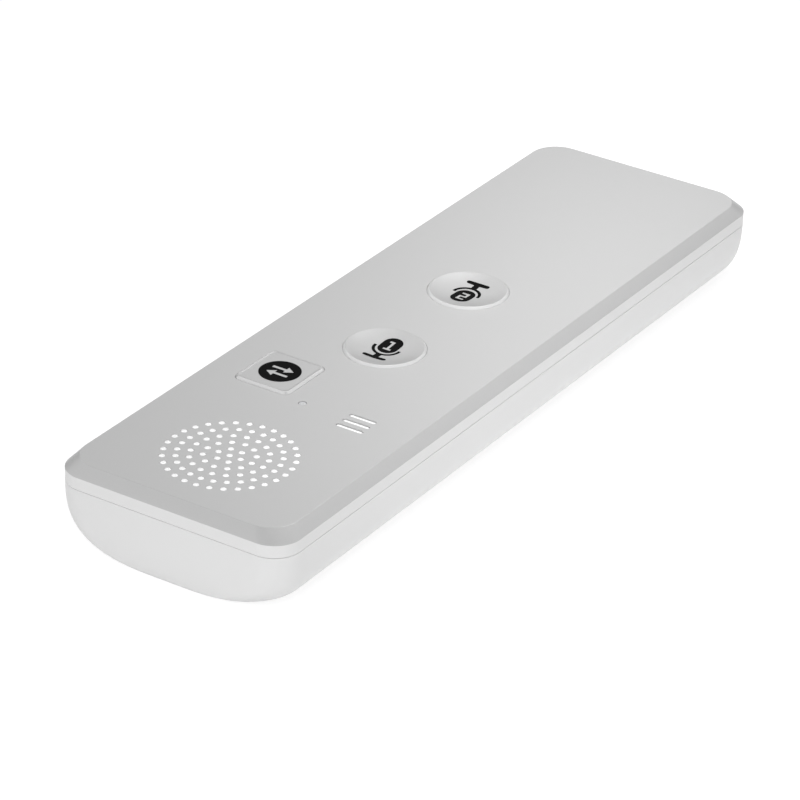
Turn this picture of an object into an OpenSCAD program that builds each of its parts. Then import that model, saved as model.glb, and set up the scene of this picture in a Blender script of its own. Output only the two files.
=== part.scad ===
// Handheld voice translator: a flat bar with a silver front panel, two round talk keys, a square
// mode key, a round speaker grille and a two-piece white housing with its electronics inside.
// Millimetres. +Z points up out of the front panel, the speaker end points to -Y, and the origin
// is under the middle of the housing, on the surface that it lies on.

/* [Housing] */
// Length of the housing, from the speaker end to the socket end
body_length = 140; // [134:0.5:150]
// Width of the housing
body_width = 41.2; // [40:0.1:46]
// Depth of the rear cover below the seam
rear_depth = 10; // [9.5:0.1:12]
// Height of the white band between the seam and the panel
band_height = 2.2; // [2.1:0.05:3]
// Corner radius of the housing's band, seen from above
corner_r = 4.6; // [3.6:0.1:6]
// Wall thickness of the two housing shells
wall = 1.4; // [1.2:0.1:1.5]
// Height of the dark line between the two shells
seam_gap = 0.18; // [0.1:0.02:0.3]

/* [Rear cover rounding] */
// How far the long sides draw in to the flat underside
side_draw_in = 12.5; // [9:0.5:14]
// Squareness of the section: 2 is an ellipse, more is boxier
side_power = 3.5; // [2.5:0.1:5]
// How far the two ends draw in to the flat underside
end_draw_in = 0.3; // [0.1:0.1:3]
// Squareness of the rounding at the two ends
end_power = 3; // [2:0.1:5]
// Corner radius at the flat underside, seen from above
base_corner_r = 7.4; // [5:0.1:8.5]

/* [Front panel] */
// Height of the panel's chamfer
chamfer_height = 1.8; // [1.4:0.05:2]
// Width of the panel's chamfer
chamfer_width = 1.5; // [1:0.05:2]
// Corner radius of the panel's flat face
panel_corner_r = 4.9; // [3:0.1:6]

/* [Keys] */
// Diameter of a round talk key
talk_key_d = 13.2; // [11:0.1:13.8]
// Distance between the two talk keys
talk_key_pitch = 24.3; // [22:0.1:26]
// Width of the mode key, across the panel
mode_key_width = 10.2; // [8.6:0.1:10.6]
// Length of the mode key, along the panel
mode_key_length = 11; // [9:0.1:11.4]
// Corner radius of the mode key
mode_key_r = 1.3; // [0.8:0.1:2]
// Place of the mode key across the panel
mode_key_x = -8.6; // [-9.2:0.1:-8]
// Place of the mode key along the panel
mode_key_y = -28.4; // [-28.8:0.1:-27.8]
// Gap between a key and the hole that it moves in
key_gap = 0.1; // [0.08:0.01:0.2]
// How far a key stands above the panel
key_proud = 0.35; // [0.2:0.05:0.5]
// Width and height of the slope round a key's rim
rim_slope = 0.35; // [0.2:0.05:0.4]
// Depth of the finger dish in a talk key, from its rim
dish_depth = 0.75; // [0.3:0.05:0.9]
// Travel of a key of the front panel
key_travel = 0.35; // [0.2:0.05:0.4]

/* [Speaker grille and openings] */
// Place of the grille's centre along the panel
grille_y = -53.9; // [-54.5:0.1:-53]
// Distance between neighbouring rings of holes
hole_pitch = 2; // [1.8:0.05:2.1]
// Diameter of one hole
hole_d = 1; // [0.8:0.05:1.1]
// Length of a microphone slit
slit_length = 5.2; // [4:0.1:6]
// Width of a microphone slit
slit_width = 0.85; // [0.6:0.05:1]
// Distance between neighbouring slits
slit_pitch = 1.8; // [1.7:0.05:2.1]
// Diameter of the indicator's light pipe
light_pipe_d = 1.3; // [1:0.1:1.6]

/* [Side controls] */
// Length of a volume key
volume_key_length = 7; // [6:0.1:7.4]
// Height of a volume key
volume_key_height = 2.6; // [2.2:0.1:2.8]
// Travel of a volume key
volume_travel = 0.3; // [0.2:0.05:0.35]
// Travel of the power slider
power_travel = 2; // [1.5:0.1:2.2]

/* [Hidden] */

half_w = body_width / 2;
half_l = body_length / 2;
seam_z = rear_depth;
band_top = seam_z + band_height;
panel_top = band_top + chamfer_height;

// Loft of the rear cover: levels down its outside and its inside, and points round each corner
outer_levels = 16;
cavity_levels = 8;
corner_steps = 8;

// Facets of small and of large circles, and how far a cutter runs past the face that it opens
smooth = 48;
fine = 96;
past = 1;

// Hairline gap between pieces that stand on each other without being joined
hair = 0.02;

// Inside of the housing
floor_z = wall;
cavity_half_w = half_w - wall;
cavity_half_l = half_l - wall;
cavity_r = corner_r - wall;
cavity_draw_in = side_draw_in - 3;
fit_gap = 0.1;
web_thickness = 1.1;
web_z = band_top - web_thickness;

// Tongue of the front frame, the step beside it that makes the dark seam, and its catches
tongue_drop = 1;
tongue_wall = 1;
tongue_half_w = cavity_half_w - fit_gap;
tongue_half_l = cavity_half_l - fit_gap;
tongue_r = cavity_r - fit_gap;
seam_step = 0.5;
catch_length = 6;
catch_height = 0.5;
catch_proud = 0.25;
catch_root = 0.2;
catch_gap = 0.12;
catch_z = seam_z - 0.75;
catch_y = [-46, -10, 60];

// Panel, its film and its pockets
film_thickness = 0.15;
film_inset = 2;
film_r = corner_r - 1;
grille_thickness = 0.4;
mesh_thickness = 0.15;
mesh_gap = 0.2;
ring_counts = [1, 6, 12, 18, 25, 30];
grille_pocket_r = 11.7;
speaker_hole_r = 10.9;
slit_x = 9.8;
slit_y = -34.9;
slit_pocket = [7.4, 6.6];
light_x = -0.3;
light_y = -34.4;
boot_r = 2.9;
boot_top = panel_top - grille_thickness - mesh_thickness - 0.05;
boot_lip = 0.6;
capsule_r = 2;
capsule_height = 1.5;
capsule_z = boot_top - boot_lip - capsule_height;

// Keys, from the top down
talk_y = [-talk_key_pitch / 2, talk_key_pitch / 2];
rim_width = 0.45;
flange_extra = 0.85;
flange_gap = 0.12;
flange_thickness = 0.7;
flange_top = band_top - flange_gap;
flange_z = flange_top - flange_thickness;
flange_room = 0.35;
legend_depth = 0.12;
mode_size = [mode_key_width, mode_key_length];
mode_dish_depth = 0.1;
mode_rim = [0.45, 0.7];

// Board and its switches
board_z = 7.6;
board_thickness = 1;
board_top = board_z + board_thickness;
board_half_w = 17.6;
board_r = 1.6;
board_hole_gap = 0.15;
board_y = [-41, 66];
boss_x = 15.2;
boss_y = [-37.9, 0, 60];
boss_r = 2.2;
screw_r = 0.8;
screw_gap = 0.03;
screw_head_r = 1.4;
screw_head_height = 0.8;
screw_reach = 2.1;
switch_side = 5.2;
switch_height = 1.2;
plunger_r = 1.1;
plunger_gap = 0.06;
plunger_height = 0.5;
plunger_well = 0.7;
plunger_play = 0.05;
stem_r = 1.7;
plunger_top = board_top + switch_height + plunger_height;

// Side controls in the left wall
side_z = 6.45;
volume_y = [24, 33];
slot_gap = 0.12;
side_proud = 0.35;
side_cap_x = -half_w - side_proud;
side_flange_x = -cavity_half_w + 0.75;
side_flange = 0.35;
side_flange_height = 3.2;
side_flange_reach = 0.7;
side_post_r = 1;
side_plunger_x = -cavity_half_w + 1.25;
side_switch_x = -cavity_half_w + 1.95;
side_switch_size = [2, 4.6, 2.7];
side_plunger_r = 0.8;
side_plunger_in = 0.5;
sign_length = 1.3;
sign_width = 0.3;
sign_depth = 0.12;
power_y = 47;
power_knob = [4.4, 2.2];
power_body = [3, 8.6, 2.7];
power_lever = 1.2;
power_lever_in = 1.5;
rest_power_y = power_y - power_travel / 2;

// Socket in the far end
socket_size = [8.94, 3.26];
socket_length = 7.35;
socket_z = board_z - socket_size[1] / 2;
socket_front_y = half_l - 0.55;
socket_wall = 0.3;
socket_back = 1;
socket_hole_gap = 0.14;

// Battery and its leads
battery_size = [27, 56, 3.9];
battery_y = -10;
battery_tape_thickness = 0.5;
battery_z = floor_z + battery_tape_thickness;
rib_gap = 0.3;
rib_thickness = 1;
rib_height = 3.2;
rib_root = 0.3;
lead_r = 0.45;
lead_x = 1.2;
connector_y = 50;
connector_size = [5, 4, 2.38];

// Speaker
basket_r = 11.4;
gasket_z = band_top - 0.5;
basket_top = gasket_z - 0.4;
basket_depth = 4;
cone_r = 9.4;
cone_roll = 0.8;
basket_room = 0.15;
magnet_r = 6.2;
magnet_height = 1.9;
speaker_lead_x = 3;
speaker_lead_r = 0.3;

white = "#eceef0";
silver = "#b9bbbd";
ink = "#101012";
board_green = "#1f5a3a";
dark = "#2a2b2e";
metal = "#c8c9cb";

// ---- shared shapes -------------------------------------------------------------------------

// A rectangle with round corners, made of true circles and squares
module rounded_rect(size, r) {
    square([size[0] - 2 * r, size[1]], center = true);
    square([size[0], size[1] - 2 * r], center = true);
    for (sx = [-1, 1], sy = [-1, 1])
        translate([sx * (size[0] / 2 - r), sy * (size[1] / 2 - r)]) circle(r = r, $fn = smooth);
}

// A slot with round ends, its length along x
module stadium(length, width) {
    square([length - width, width], center = true);
    for (s = [-1, 1]) translate([s * (length - width) / 2, 0]) circle(d = width, $fn = smooth);
}

// One rounded slab from z = bottom to z = top that narrows by inset from r1 to r2 at its corners
module tapered_slab(size, r1, r2, bottom, top, inset) {
    hull() {
        translate([0, 0, bottom]) linear_extrude(0.01) rounded_rect(size, r1);
        translate([0, 0, top - 0.01]) linear_extrude(0.01)
            rounded_rect([size[0] - 2 * inset, size[1] - 2 * inset], r2);
    }
}

// How far a superelliptic side has drawn in at the share u of its depth
function draw_in(u, reach, power) = reach * (1 - pow(max(0, 1 - pow(u, power)), 1 / power));

// Radius of an upright corner at the share u of its depth, a little less than the half width there
function corner_at(u, r, half_width) = min(r + (base_corner_r - corner_r) * u * u, half_width - fit_gap);

// Shares of the depth for a count of levels, closer together towards the underside
function levels(count) = [for (i = [0:count]) 1 - pow(1 - i / count, 2.4)];

// Points of a rounded rectangle of half sizes hx and hy, at height z
function outline(hx, hy, r, z) = [
    for (q = [0:3], i = [0:corner_steps])
        let (a = 90 * q + 90 * i / corner_steps)
        let (sx = (q == 0 || q == 3) ? 1 : -1, sy = q < 2 ? 1 : -1)
        [sx * (hx - r) + r * cos(a), sy * (hy - r) + r * sin(a), z]
];

// Solid bounded by a stack of rings, each running anticlockwise as seen from beyond the first one
module loft(rings) {
    n = len(rings[0]);
    m = len(rings);
    first = [for (i = [n - 1:-1:0]) i];
    last = [for (i = [0:n - 1]) (m - 1) * n + i];
    sides = [
        for (k = [0:m - 2], i = [0:n - 1])
            let (j = (i + 1) % n, a = k * n, b = (k + 1) * n)
            each [[a + i, b + j, b + i], [a + i, a + j, b + j]]
    ];
    polyhedron(points = [for (ring = rings) each ring], faces = concat([first, last], sides));
}

// Points of a smooth run through a list of [y, z] points, steps in each stretch
function run_points(yz, steps) = [
    for (k = [0:len(yz) - 2], i = [0:steps - 1])
        let (a = yz[max(k - 1, 0)], b = yz[k], c = yz[k + 1], d = yz[min(k + 2, len(yz) - 1)])
        let (t = i / steps, linear = c - a, square = 2 * a - 5 * b + 4 * c - d, cube = 3 * b - a - 3 * c + d)
        (2 * b + t * linear + t * t * square + t * t * t * cube) / 2,
    yz[len(yz) - 1]
];

// A round wire at one x, along a smooth run through [y, z] points
module wire(x, yz, r) {
    path = run_points(yz, 6);
    m = len(path);
    sides = 10;
    rings = [
        for (k = [0:m - 1])
            let (d = path[min(k + 1, m - 1)] - path[max(k - 1, 0)])
            let (n = [-d[1], d[0]] / norm(d))
            [for (i = [0:sides - 1]) let (a = 360 * i / sides)
                [x + r * cos(a), path[k][0] + r * sin(a) * n[0], path[k][1] + r * sin(a) * n[1]]]
    ];
    loft(rings);
}

// ---- housing -------------------------------------------------------------------------------

// Ring of a shell that narrows as it goes down, at the share u of its depth below the seam
function shell_ring(u, hx, hy, r, reach, depth) =
    let (x = hx - draw_in(u, reach, side_power), y = hy - draw_in(u, end_draw_in, end_power))
    outline(x, y, corner_at(u, r, x), seam_z - depth * u);

module outer_loft() {
    loft([for (u = levels(outer_levels))
        shell_ring(u, half_w, half_l, corner_r, side_draw_in, rear_depth)]);
}

module cavity_loft() {
    top = [outline(cavity_half_w, cavity_half_l, cavity_r, seam_z + past)];
    loft(concat(top, [for (u = levels(cavity_levels))
        shell_ring(u, cavity_half_w, cavity_half_l, cavity_r, cavity_draw_in, rear_depth - floor_z)]));
}

// Slot through the left wall, for a control that is length long and height high
module side_slot(y, length, height) {
    translate([-half_w - past, y, side_z]) rotate([90, 0, 90])
        linear_extrude(half_w - cavity_half_w + 3 * past)
            stadium(length + 2 * slot_gap, height + 2 * slot_gap);
}

// Catches of the tongue, or with some extra room the pockets that they snap into
module catch_blocks(extra) {
    size = [catch_proud + catch_root + extra, catch_length + 2 * extra, catch_height + 2 * extra];
    for (s = [-1, 1], y = catch_y)
        translate([s * (tongue_half_w - catch_root + size[0] / 2), y, catch_z]) cube(size, center = true);
}

module battery_ribs() {
    side_rib = [rib_thickness, 8, rib_height];
    end_rib = [6, rib_thickness, rib_height];
    reach = (battery_size + [rib_thickness, rib_thickness, 0]) / 2 + [rib_gap, rib_gap, 0];
    z = floor_z - rib_root + rib_height / 2;
    for (s = [-1, 1]) {
        for (y = [-18, 0, 18]) translate([s * reach[0], battery_y + y, z]) cube(side_rib, center = true);
        for (x = [-8, 8]) translate([x, battery_y + s * reach[1], z]) cube(end_rib, center = true);
    }
}

module rear_cover() {
    color(white) difference() {
        union() {
            difference() {
                outer_loft();
                cavity_loft();
            }
            battery_ribs();
        }
        catch_blocks(catch_gap);
        for (y = volume_y) side_slot(y, volume_key_length, volume_key_height);
        side_slot(power_y, power_knob[0] + power_travel, power_knob[1]);
        translate([0, cavity_half_l - past, socket_z]) rotate([-90, 0, 0])
            linear_extrude(wall + 2 * past)
                stadium(socket_size[0] + 2 * socket_hole_gap, socket_size[1] + 2 * socket_hole_gap);
    }
}

module key_holes(extra) {
    for (y = talk_y) translate([0, y, 0]) circle(d = talk_key_d + 2 * extra, $fn = fine);
    translate([mode_key_x, mode_key_y]) rounded_rect(mode_size + 2 * extra * [1, 1], mode_key_r + extra);
}

// The band, the step that makes the seam line and the tongue that enters the rear cover
module frame_ring() {
    translate([0, 0, seam_z + seam_gap]) linear_extrude(band_height - seam_gap)
        rounded_rect([body_width, body_length], corner_r);
    translate([0, 0, seam_z]) linear_extrude(2 * seam_gap)
        rounded_rect([body_width, body_length] - 2 * seam_step * [1, 1], corner_r - seam_step);
    translate([0, 0, seam_z - tongue_drop]) linear_extrude(tongue_drop + 2 * seam_gap)
        rounded_rect([2 * tongue_half_w, 2 * tongue_half_l], tongue_r);
}

module front_frame() {
    inner = [2 * (tongue_half_w - tongue_wall), 2 * (tongue_half_l - tongue_wall)];
    color(white) difference() {
        union() {
            difference() {
                frame_ring();
                translate([0, 0, seam_z - tongue_drop - past])
                    linear_extrude(tongue_drop + past + band_height - web_thickness)
                        rounded_rect(inner, tongue_r - tongue_wall);
            }
            catch_blocks(0);
            for (s = [-1, 1], y = boss_y) translate([s * boss_x, y, board_top])
                cylinder(r = boss_r, h = web_z - board_top + web_thickness / 2, $fn = smooth);
        }
        for (s = [-1, 1], y = boss_y) translate([s * boss_x, y, board_top - past])
            cylinder(r = screw_r + screw_gap, h = past + screw_reach + screw_gap, $fn = smooth);
        translate([0, 0, web_z - past]) linear_extrude(web_thickness + 2 * past) {
            key_holes(flange_extra + flange_room);
            translate([0, grille_y]) circle(r = speaker_hole_r, $fn = fine);
            translate([slit_x, slit_y]) circle(r = boot_r + fit_gap, $fn = fine);
            translate([light_x, light_y]) circle(d = light_pipe_d + 3 * fit_gap, $fn = smooth);
        }
        translate([0, 0, band_top - film_thickness]) linear_extrude(past)
            rounded_rect([body_width, body_length] - 2 * film_inset * [1, 1], film_r);
        translate([0, grille_y, web_z - past])
            cylinder(r = basket_r + basket_room, h = gasket_z - web_z + past, $fn = fine);
    }
}

module panel_adhesive() {
    size = [body_width, body_length] - 2 * (film_inset + fit_gap) * [1, 1];
    color(dark) translate([0, 0, band_top - film_thickness]) linear_extrude(film_thickness) difference() {
        rounded_rect(size, film_r - fit_gap);
        key_holes(flange_extra + flange_room + fit_gap);
        translate([0, grille_y]) circle(r = grille_pocket_r + 3 * fit_gap, $fn = fine);
        translate([slit_x, slit_y]) square(slit_pocket + 6 * fit_gap * [1, 1], center = true);
        translate([light_x, light_y]) circle(d = light_pipe_d + 5 * fit_gap, $fn = smooth);
    }
}

// Rings of holes: one in the middle, then the counts of ring_counts
module grille_holes() {
    for (k = [0:len(ring_counts) - 1], i = [0:ring_counts[k] - 1])
        rotate(360 * i / ring_counts[k]) translate([k * hole_pitch, 0]) circle(d = hole_d, $fn = 24);
}

module front_panel() {
    through = chamfer_height + 2 * past;
    pocket = past + chamfer_height - grille_thickness;
    color(silver) difference() {
        tapered_slab([body_width, body_length], corner_r, panel_corner_r, band_top, panel_top, chamfer_width);
        translate([0, 0, band_top - past]) {
            linear_extrude(through) {
                key_holes(key_gap);
                translate([0, grille_y]) grille_holes();
                for (k = [-1:1])
                    translate([slit_x, slit_y + k * slit_pitch]) stadium(slit_length, slit_width);
                translate([light_x, light_y]) circle(d = light_pipe_d + fit_gap, $fn = smooth);
            }
            linear_extrude(pocket) {
                translate([0, grille_y]) circle(r = grille_pocket_r, $fn = fine);
                translate([slit_x, slit_y]) square(slit_pocket, center = true);
            }
        }
    }
}

module speaker_mesh() {
    color(white) translate([0, grille_y, panel_top - grille_thickness - mesh_thickness])
        cylinder(r = grille_pocket_r - mesh_gap, h = mesh_thickness, $fn = fine);
}

module microphone_mesh() {
    color(white) translate([slit_x, slit_y, panel_top - grille_thickness - mesh_thickness])
        linear_extrude(mesh_thickness) square(slit_pocket - 2 * mesh_gap * [1, 1], center = true);
}

// ---- speaker and microphone ----------------------------------------------------------------

module speaker_basket() {
    sheet = 0.8;
    vent_r = 0.8;
    rim_r = basket_r - 1.1;
    heel_r = magnet_r + 1.6;
    bottom = basket_top - basket_depth;
    color(metal) translate([0, grille_y, 0]) rotate_extrude($fn = fine) polygon([
        [basket_r, basket_top], [basket_r, basket_top - sheet], [heel_r, bottom], [vent_r, bottom],
        [vent_r, bottom + sheet], [heel_r - sheet / 2, bottom + sheet],
        [rim_r, basket_top - sheet], [rim_r, basket_top]]);
}

module speaker_magnet() {
    color(dark) translate([0, grille_y, basket_top - basket_depth - magnet_height])
        cylinder(r = magnet_r, h = magnet_height, $fn = fine);
}

module speaker_cone() {
    sheet = 0.3;
    top = [[cone_r + cone_roll, 0], [cone_r, 0], [4, -1.9], [2.6, -1.4], [0, -1.2]];
    under = [for (i = [len(top) - 1:-1:0]) top[i] - [0, sheet]];
    color(dark) translate([0, grille_y, basket_top - 0.2])
        rotate_extrude($fn = fine) polygon(concat(top, under));
}

module speaker_gasket() {
    color(dark) translate([0, grille_y, basket_top]) difference() {
        cylinder(r = basket_r - fit_gap, h = gasket_z - basket_top, $fn = fine);
        translate([0, 0, -past])
            cylinder(r = cone_r + cone_roll + fit_gap, h = gasket_z - basket_top + 2 * past, $fn = fine);
    }
}

module speaker_leads() {
    tab = [grille_y + basket_r - 0.35, basket_top - 1.5];
    pad = [board_y[0] + 2, board_top + 0.4];
    for (s = [-1, 1]) color("#c0392b")
        wire(s * speaker_lead_x, [tab, tab + [0.6, 0.05], pad - [1.4, 0], pad], speaker_lead_r);
}

module microphone_capsule() {
    color(metal) translate([slit_x, slit_y, capsule_z])
        cylinder(r = capsule_r, h = capsule_height, $fn = fine);
}

module microphone_boot() {
    color(dark) translate([slit_x, slit_y, 0]) difference() {
        translate([0, 0, board_top + hair]) cylinder(r = boot_r, h = boot_top - board_top - hair, $fn = fine);
        translate([0, 0, capsule_z - hair])
            cylinder(r = capsule_r + 2 * hair, h = capsule_height + boot_lip + past, $fn = fine);
    }
}

// ---- board ---------------------------------------------------------------------------------

module main_board() {
    length = board_y[1] - board_y[0];
    middle = (board_y[1] + board_y[0]) / 2;
    color(board_green) difference() {
        translate([0, middle, board_z]) linear_extrude(board_thickness)
            rounded_rect([2 * board_half_w, length], board_r);
        for (s = [-1, 1], y = boss_y) translate([s * boss_x, y, board_z - past])
            cylinder(r = screw_r + board_hole_gap, h = board_thickness + 2 * past, $fn = smooth);
    }
}

module board_screws() {
    slot = [1.6, 0.3, 0.8];
    color(metal) for (s = [-1, 1], y = boss_y) translate([s * boss_x, y, board_z - screw_head_height])
        difference() {
            union() {
                cylinder(r = screw_head_r, h = screw_head_height, $fn = smooth);
                cylinder(r = screw_r, h = screw_head_height + board_thickness + screw_reach, $fn = smooth);
            }
            for (a = [0, 90]) rotate(a) cube(slot, center = true);
        }
}

module tact_body() {
    difference() {
        translate([-switch_side / 2, -switch_side / 2, 0]) cube([switch_side, switch_side, switch_height]);
        translate([0, 0, switch_height - plunger_well])
            cylinder(r = plunger_r + plunger_gap, h = plunger_well + past, $fn = smooth);
    }
}

module front_switches() {
    color(dark) {
        for (y = talk_y) translate([0, y, board_top]) tact_body();
        translate([mode_key_x, mode_key_y, board_top]) tact_body();
    }
}

module tact_plunger(x, y) {
    z = board_top + switch_height - plunger_well + key_travel + plunger_play;
    color(white) translate([x, y, z]) cylinder(r = plunger_r, h = plunger_top - z, $fn = smooth);
}

module volume_switches() {
    well = side_plunger_in + volume_travel + plunger_play;
    size = side_switch_size;
    color(dark) for (y = volume_y) difference() {
        translate([side_switch_x, y - size[1] / 2, board_z - size[2]]) cube(size);
        translate([side_switch_x - past, y, side_z]) rotate([0, 90, 0])
            cylinder(r = side_plunger_r + plunger_gap, h = past + well, $fn = smooth);
    }
}

module side_plunger(y) {
    color(white) translate([side_plunger_x, y, side_z]) rotate([0, 90, 0])
        cylinder(r = side_plunger_r, h = side_switch_x - side_plunger_x + side_plunger_in, $fn = smooth);
}

module power_switch() {
    size = power_body;
    slot = [past + power_lever_in, power_travel + power_lever, power_lever] + fit_gap * [1, 6, 2];
    color(metal) difference() {
        translate([side_switch_x, power_y - size[1] / 2, board_z - size[2]]) cube(size);
        translate([side_switch_x - past, power_y - slot[1] / 2, side_z - slot[2] / 2]) cube(slot);
    }
}

module processor_shield() {
    size = [18, 20, 1.6 - hair];
    color(metal) translate([-size[0] / 2, 21, board_z - hair - size[2]]) cube(size);
}

module memory_chip() {
    color(dark) translate([-4, 32, board_top + hair]) cube([10, 12, 1.1]);
}

module indicator_led() {
    size = [1.6, 0.8, 0.6];
    color("#e8e4c8") translate([light_x - size[0] / 2, light_y - size[1] / 2, board_top + hair]) cube(size);
}

module indicator_light_pipe() {
    foot_z = board_top + 0.8;
    collar = 0.6;
    color("#f2f4f6") translate([light_x, light_y, 0]) {
        translate([0, 0, foot_z]) cylinder(d = light_pipe_d, h = panel_top - foot_z, $fn = smooth);
        translate([0, 0, web_z - collar - fit_gap / 2])
            cylinder(d = light_pipe_d + 1, h = collar, $fn = smooth);
    }
}

module antenna_film() {
    size = [22, 15];
    slot = [19, 1.2];
    pitch = 3.6;
    color("#c87533") translate([0, 54, web_z - film_thickness - hair]) linear_extrude(film_thickness)
        difference() {
            square(size, center = true);
            for (k = [-1:1]) translate([k == 0 ? -2 : 2, pitch * k]) square(slot, center = true);
        }
}

// ---- socket and battery --------------------------------------------------------------------

module usb_socket() {
    color(metal) translate([0, socket_front_y, socket_z]) rotate([90, 0, 0]) difference() {
        linear_extrude(socket_length) stadium(socket_size[0], socket_size[1] - hair);
        translate([0, 0, -past]) linear_extrude(socket_length - socket_back + past)
            stadium(socket_size[0] - 2 * socket_wall, socket_size[1] - 2 * socket_wall);
    }
}

module usb_tongue() {
    size = [6.7, 0.7];
    set_back = 0.8;
    color(dark) translate([0, socket_front_y - set_back, socket_z]) rotate([90, 0, 0])
        linear_extrude(socket_length - socket_back - set_back - hair) square(size, center = true);
}

// The pouch, with the thinner sealed edge at its two ends
module battery_cell() {
    size = battery_size;
    seal = [size[0] - 2, size[1], 1.2];
    seal_length = 2;
    color("#8d9aa6") translate([0, battery_y, battery_z]) {
        linear_extrude(size[2]) rounded_rect([size[0], size[1] - 2 * seal_length], 1.2);
        translate([0, 0, size[2] / 2]) cube(seal, center = true);
    }
}

module battery_tape() {
    size = [13, 44, battery_tape_thickness - 2 * hair];
    color(dark) translate([-size[0] / 2, battery_y - size[1] / 2, floor_z + hair]) cube(size);
}

module battery_connector() {
    size = connector_size;
    plug_depth = 2.5;
    color(white) translate([0, connector_y, board_z - hair - size[2] / 2]) difference() {
        cube(size, center = true);
        for (s = [-1, 1]) translate([s * lead_x, -size[1] / 2 - past, 0]) rotate([-90, 0, 0])
            cylinder(r = lead_r + 0.05, h = past + plug_depth, $fn = 24);
    }
}

// One lead, from the cell's end, down to the floor and up into the connector
module battery_lead(s) {
    start_y = battery_y + battery_size[1] / 2 + hair;
    cell_z = battery_z + 2;
    low_z = floor_z + 1;
    plug_z = board_z - hair - connector_size[2] / 2;
    wire(s * lead_x, [[start_y, cell_z], [start_y + 1.5, cell_z], [start_y + 6, low_z], [start_y + 14, low_z],
        [start_y + 22, low_z + 0.6], [connector_y - 5, plug_z], [connector_y - 2.2, plug_z],
        [connector_y - 0.3, plug_z]], lead_r);
}

module battery_lead_positive() {
    color("#c0392b") battery_lead(1);
}

module battery_lead_negative() {
    color(ink) battery_lead(-1);
}

// ---- keys ----------------------------------------------------------------------------------

key_top = panel_top + key_proud;
talk_r = talk_key_d / 2;
dish_r = talk_r - rim_width;
dish_sphere_r = (dish_r * dish_r + dish_depth * dish_depth) / (2 * dish_depth);
dish_centre_z = key_top - dish_depth + dish_sphere_r;

module talk_key_blank() {
    flange_r = talk_r + flange_extra;
    rotate_extrude($fn = fine) polygon([
        [0, plunger_top], [stem_r, plunger_top], [stem_r, flange_z], [flange_r, flange_z],
        [flange_r, flange_top], [talk_r, flange_top], [talk_r, key_top - rim_slope],
        [talk_r - rim_slope, key_top], [0, key_top]]);
}

// Layer of the dish that the black legend fills
module dish_layer(depth) {
    difference() {
        translate([0, 0, dish_centre_z]) sphere(r = dish_sphere_r + depth, $fn = 240);
        translate([0, 0, dish_centre_z]) sphere(r = dish_sphere_r, $fn = 240);
    }
}

// A studio microphone pictogram: a capsule with a numeral cut out of it, cradle, stem and foot
module microphone_sign(number) {
    capsule = [4.7, 3.3];
    capsule_y = 1.6;
    cradle = [6.2, 4.9];
    cradle_y = 1.35;
    line = 0.5;
    foot = [4.2, 0.8];
    foot_y = -3.05;
    stem = 1;
    translate([0, capsule_y]) difference() {
        rotate(90) stadium(capsule[0], capsule[1]);
        numeral(number);
    }
    difference() {
        translate([0, cradle_y]) rotate(90) stadium(cradle[0], cradle[1]);
        translate([0, cradle_y + line / 2]) rotate(90) stadium(cradle[0] - line, cradle[1] - 2 * line);
        translate([-cradle[1], capsule_y - capsule[0] / 6]) square(2 * cradle[1]);
    }
    translate([-stem / 2, foot_y]) square([stem, cradle_y - cradle[0] / 2 - foot_y + line / 2]);
    translate([0, foot_y]) stadium(foot[0], foot[1]);
}

// A plain 1 or 2, drawn with bars about its middle
module numeral(number) {
    bar = 0.45;
    width = 1.4;
    height = 2.6;
    if (number == 1) {
        square([bar, height], center = true);
        translate([-width / 2, -height / 2]) square([width, bar]);
        translate([-width / 2, height / 2 - bar]) square([width / 2, bar]);
    } else {
        for (s = [-1:1]) translate([0, s * (height - bar) / 2]) square([width, bar], center = true);
        translate([(width - bar) / 2, (height - bar) / 4]) square([bar, height / 2], center = true);
        translate([(bar - width) / 2, (bar - height) / 4]) square([bar, height / 2], center = true);
    }
}

module talk_legend(number) {
    intersection() {
        dish_layer(legend_depth);
        translate([0, 0, panel_top - past]) linear_extrude(2 * past) microphone_sign(number);
    }
}

module talk_key(number) {
    difference() {
        talk_key_blank();
        translate([0, 0, dish_centre_z]) sphere(r = dish_sphere_r, $fn = 240);
        talk_legend(number);
    }
}

// A disc with two arrows that point opposite ways
module mode_sign() {
    shaft = [2.6, 0.6];
    head = [1.5, 1.9];
    difference() {
        circle(r = 3.35, $fn = fine);
        for (a = [0, 180]) rotate(a) translate([-1.9, 0.55]) {
            square(shaft);
            translate([shaft[0] - 0.2, shaft[1] / 2])
                polygon([[0, -head[1] / 2], [head[0], 0], [0, head[1] / 2]]);
        }
    }
}

mode_face_z = key_top - mode_dish_depth;

module mode_key_body() {
    difference() {
        union() {
            tapered_slab(mode_size, mode_key_r, mode_key_r - rim_slope, key_top - rim_slope, key_top,
                rim_slope);
            translate([0, 0, flange_z]) linear_extrude(key_top - rim_slope - flange_z)
                rounded_rect(mode_size, mode_key_r);
            translate([0, 0, flange_z]) linear_extrude(flange_thickness)
                rounded_rect(mode_size + 2 * flange_extra * [1, 1], mode_key_r + flange_extra);
            translate([0, 0, plunger_top])
                cylinder(r = stem_r, h = flange_z - plunger_top + flange_thickness / 2, $fn = smooth);
        }
        hull() {
            translate([0, 0, mode_face_z]) linear_extrude(0.01)
                rounded_rect(mode_size - 2 * mode_rim[1] * [1, 1], mode_key_r - mode_rim[1] + mode_rim[0]);
            translate([0, 0, key_top]) linear_extrude(0.01)
                rounded_rect(mode_size - 2 * mode_rim[0] * [1, 1], mode_key_r - rim_slope);
        }
        translate([0, 0, mode_face_z - legend_depth]) linear_extrude(past) mode_sign();
    }
}

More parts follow.
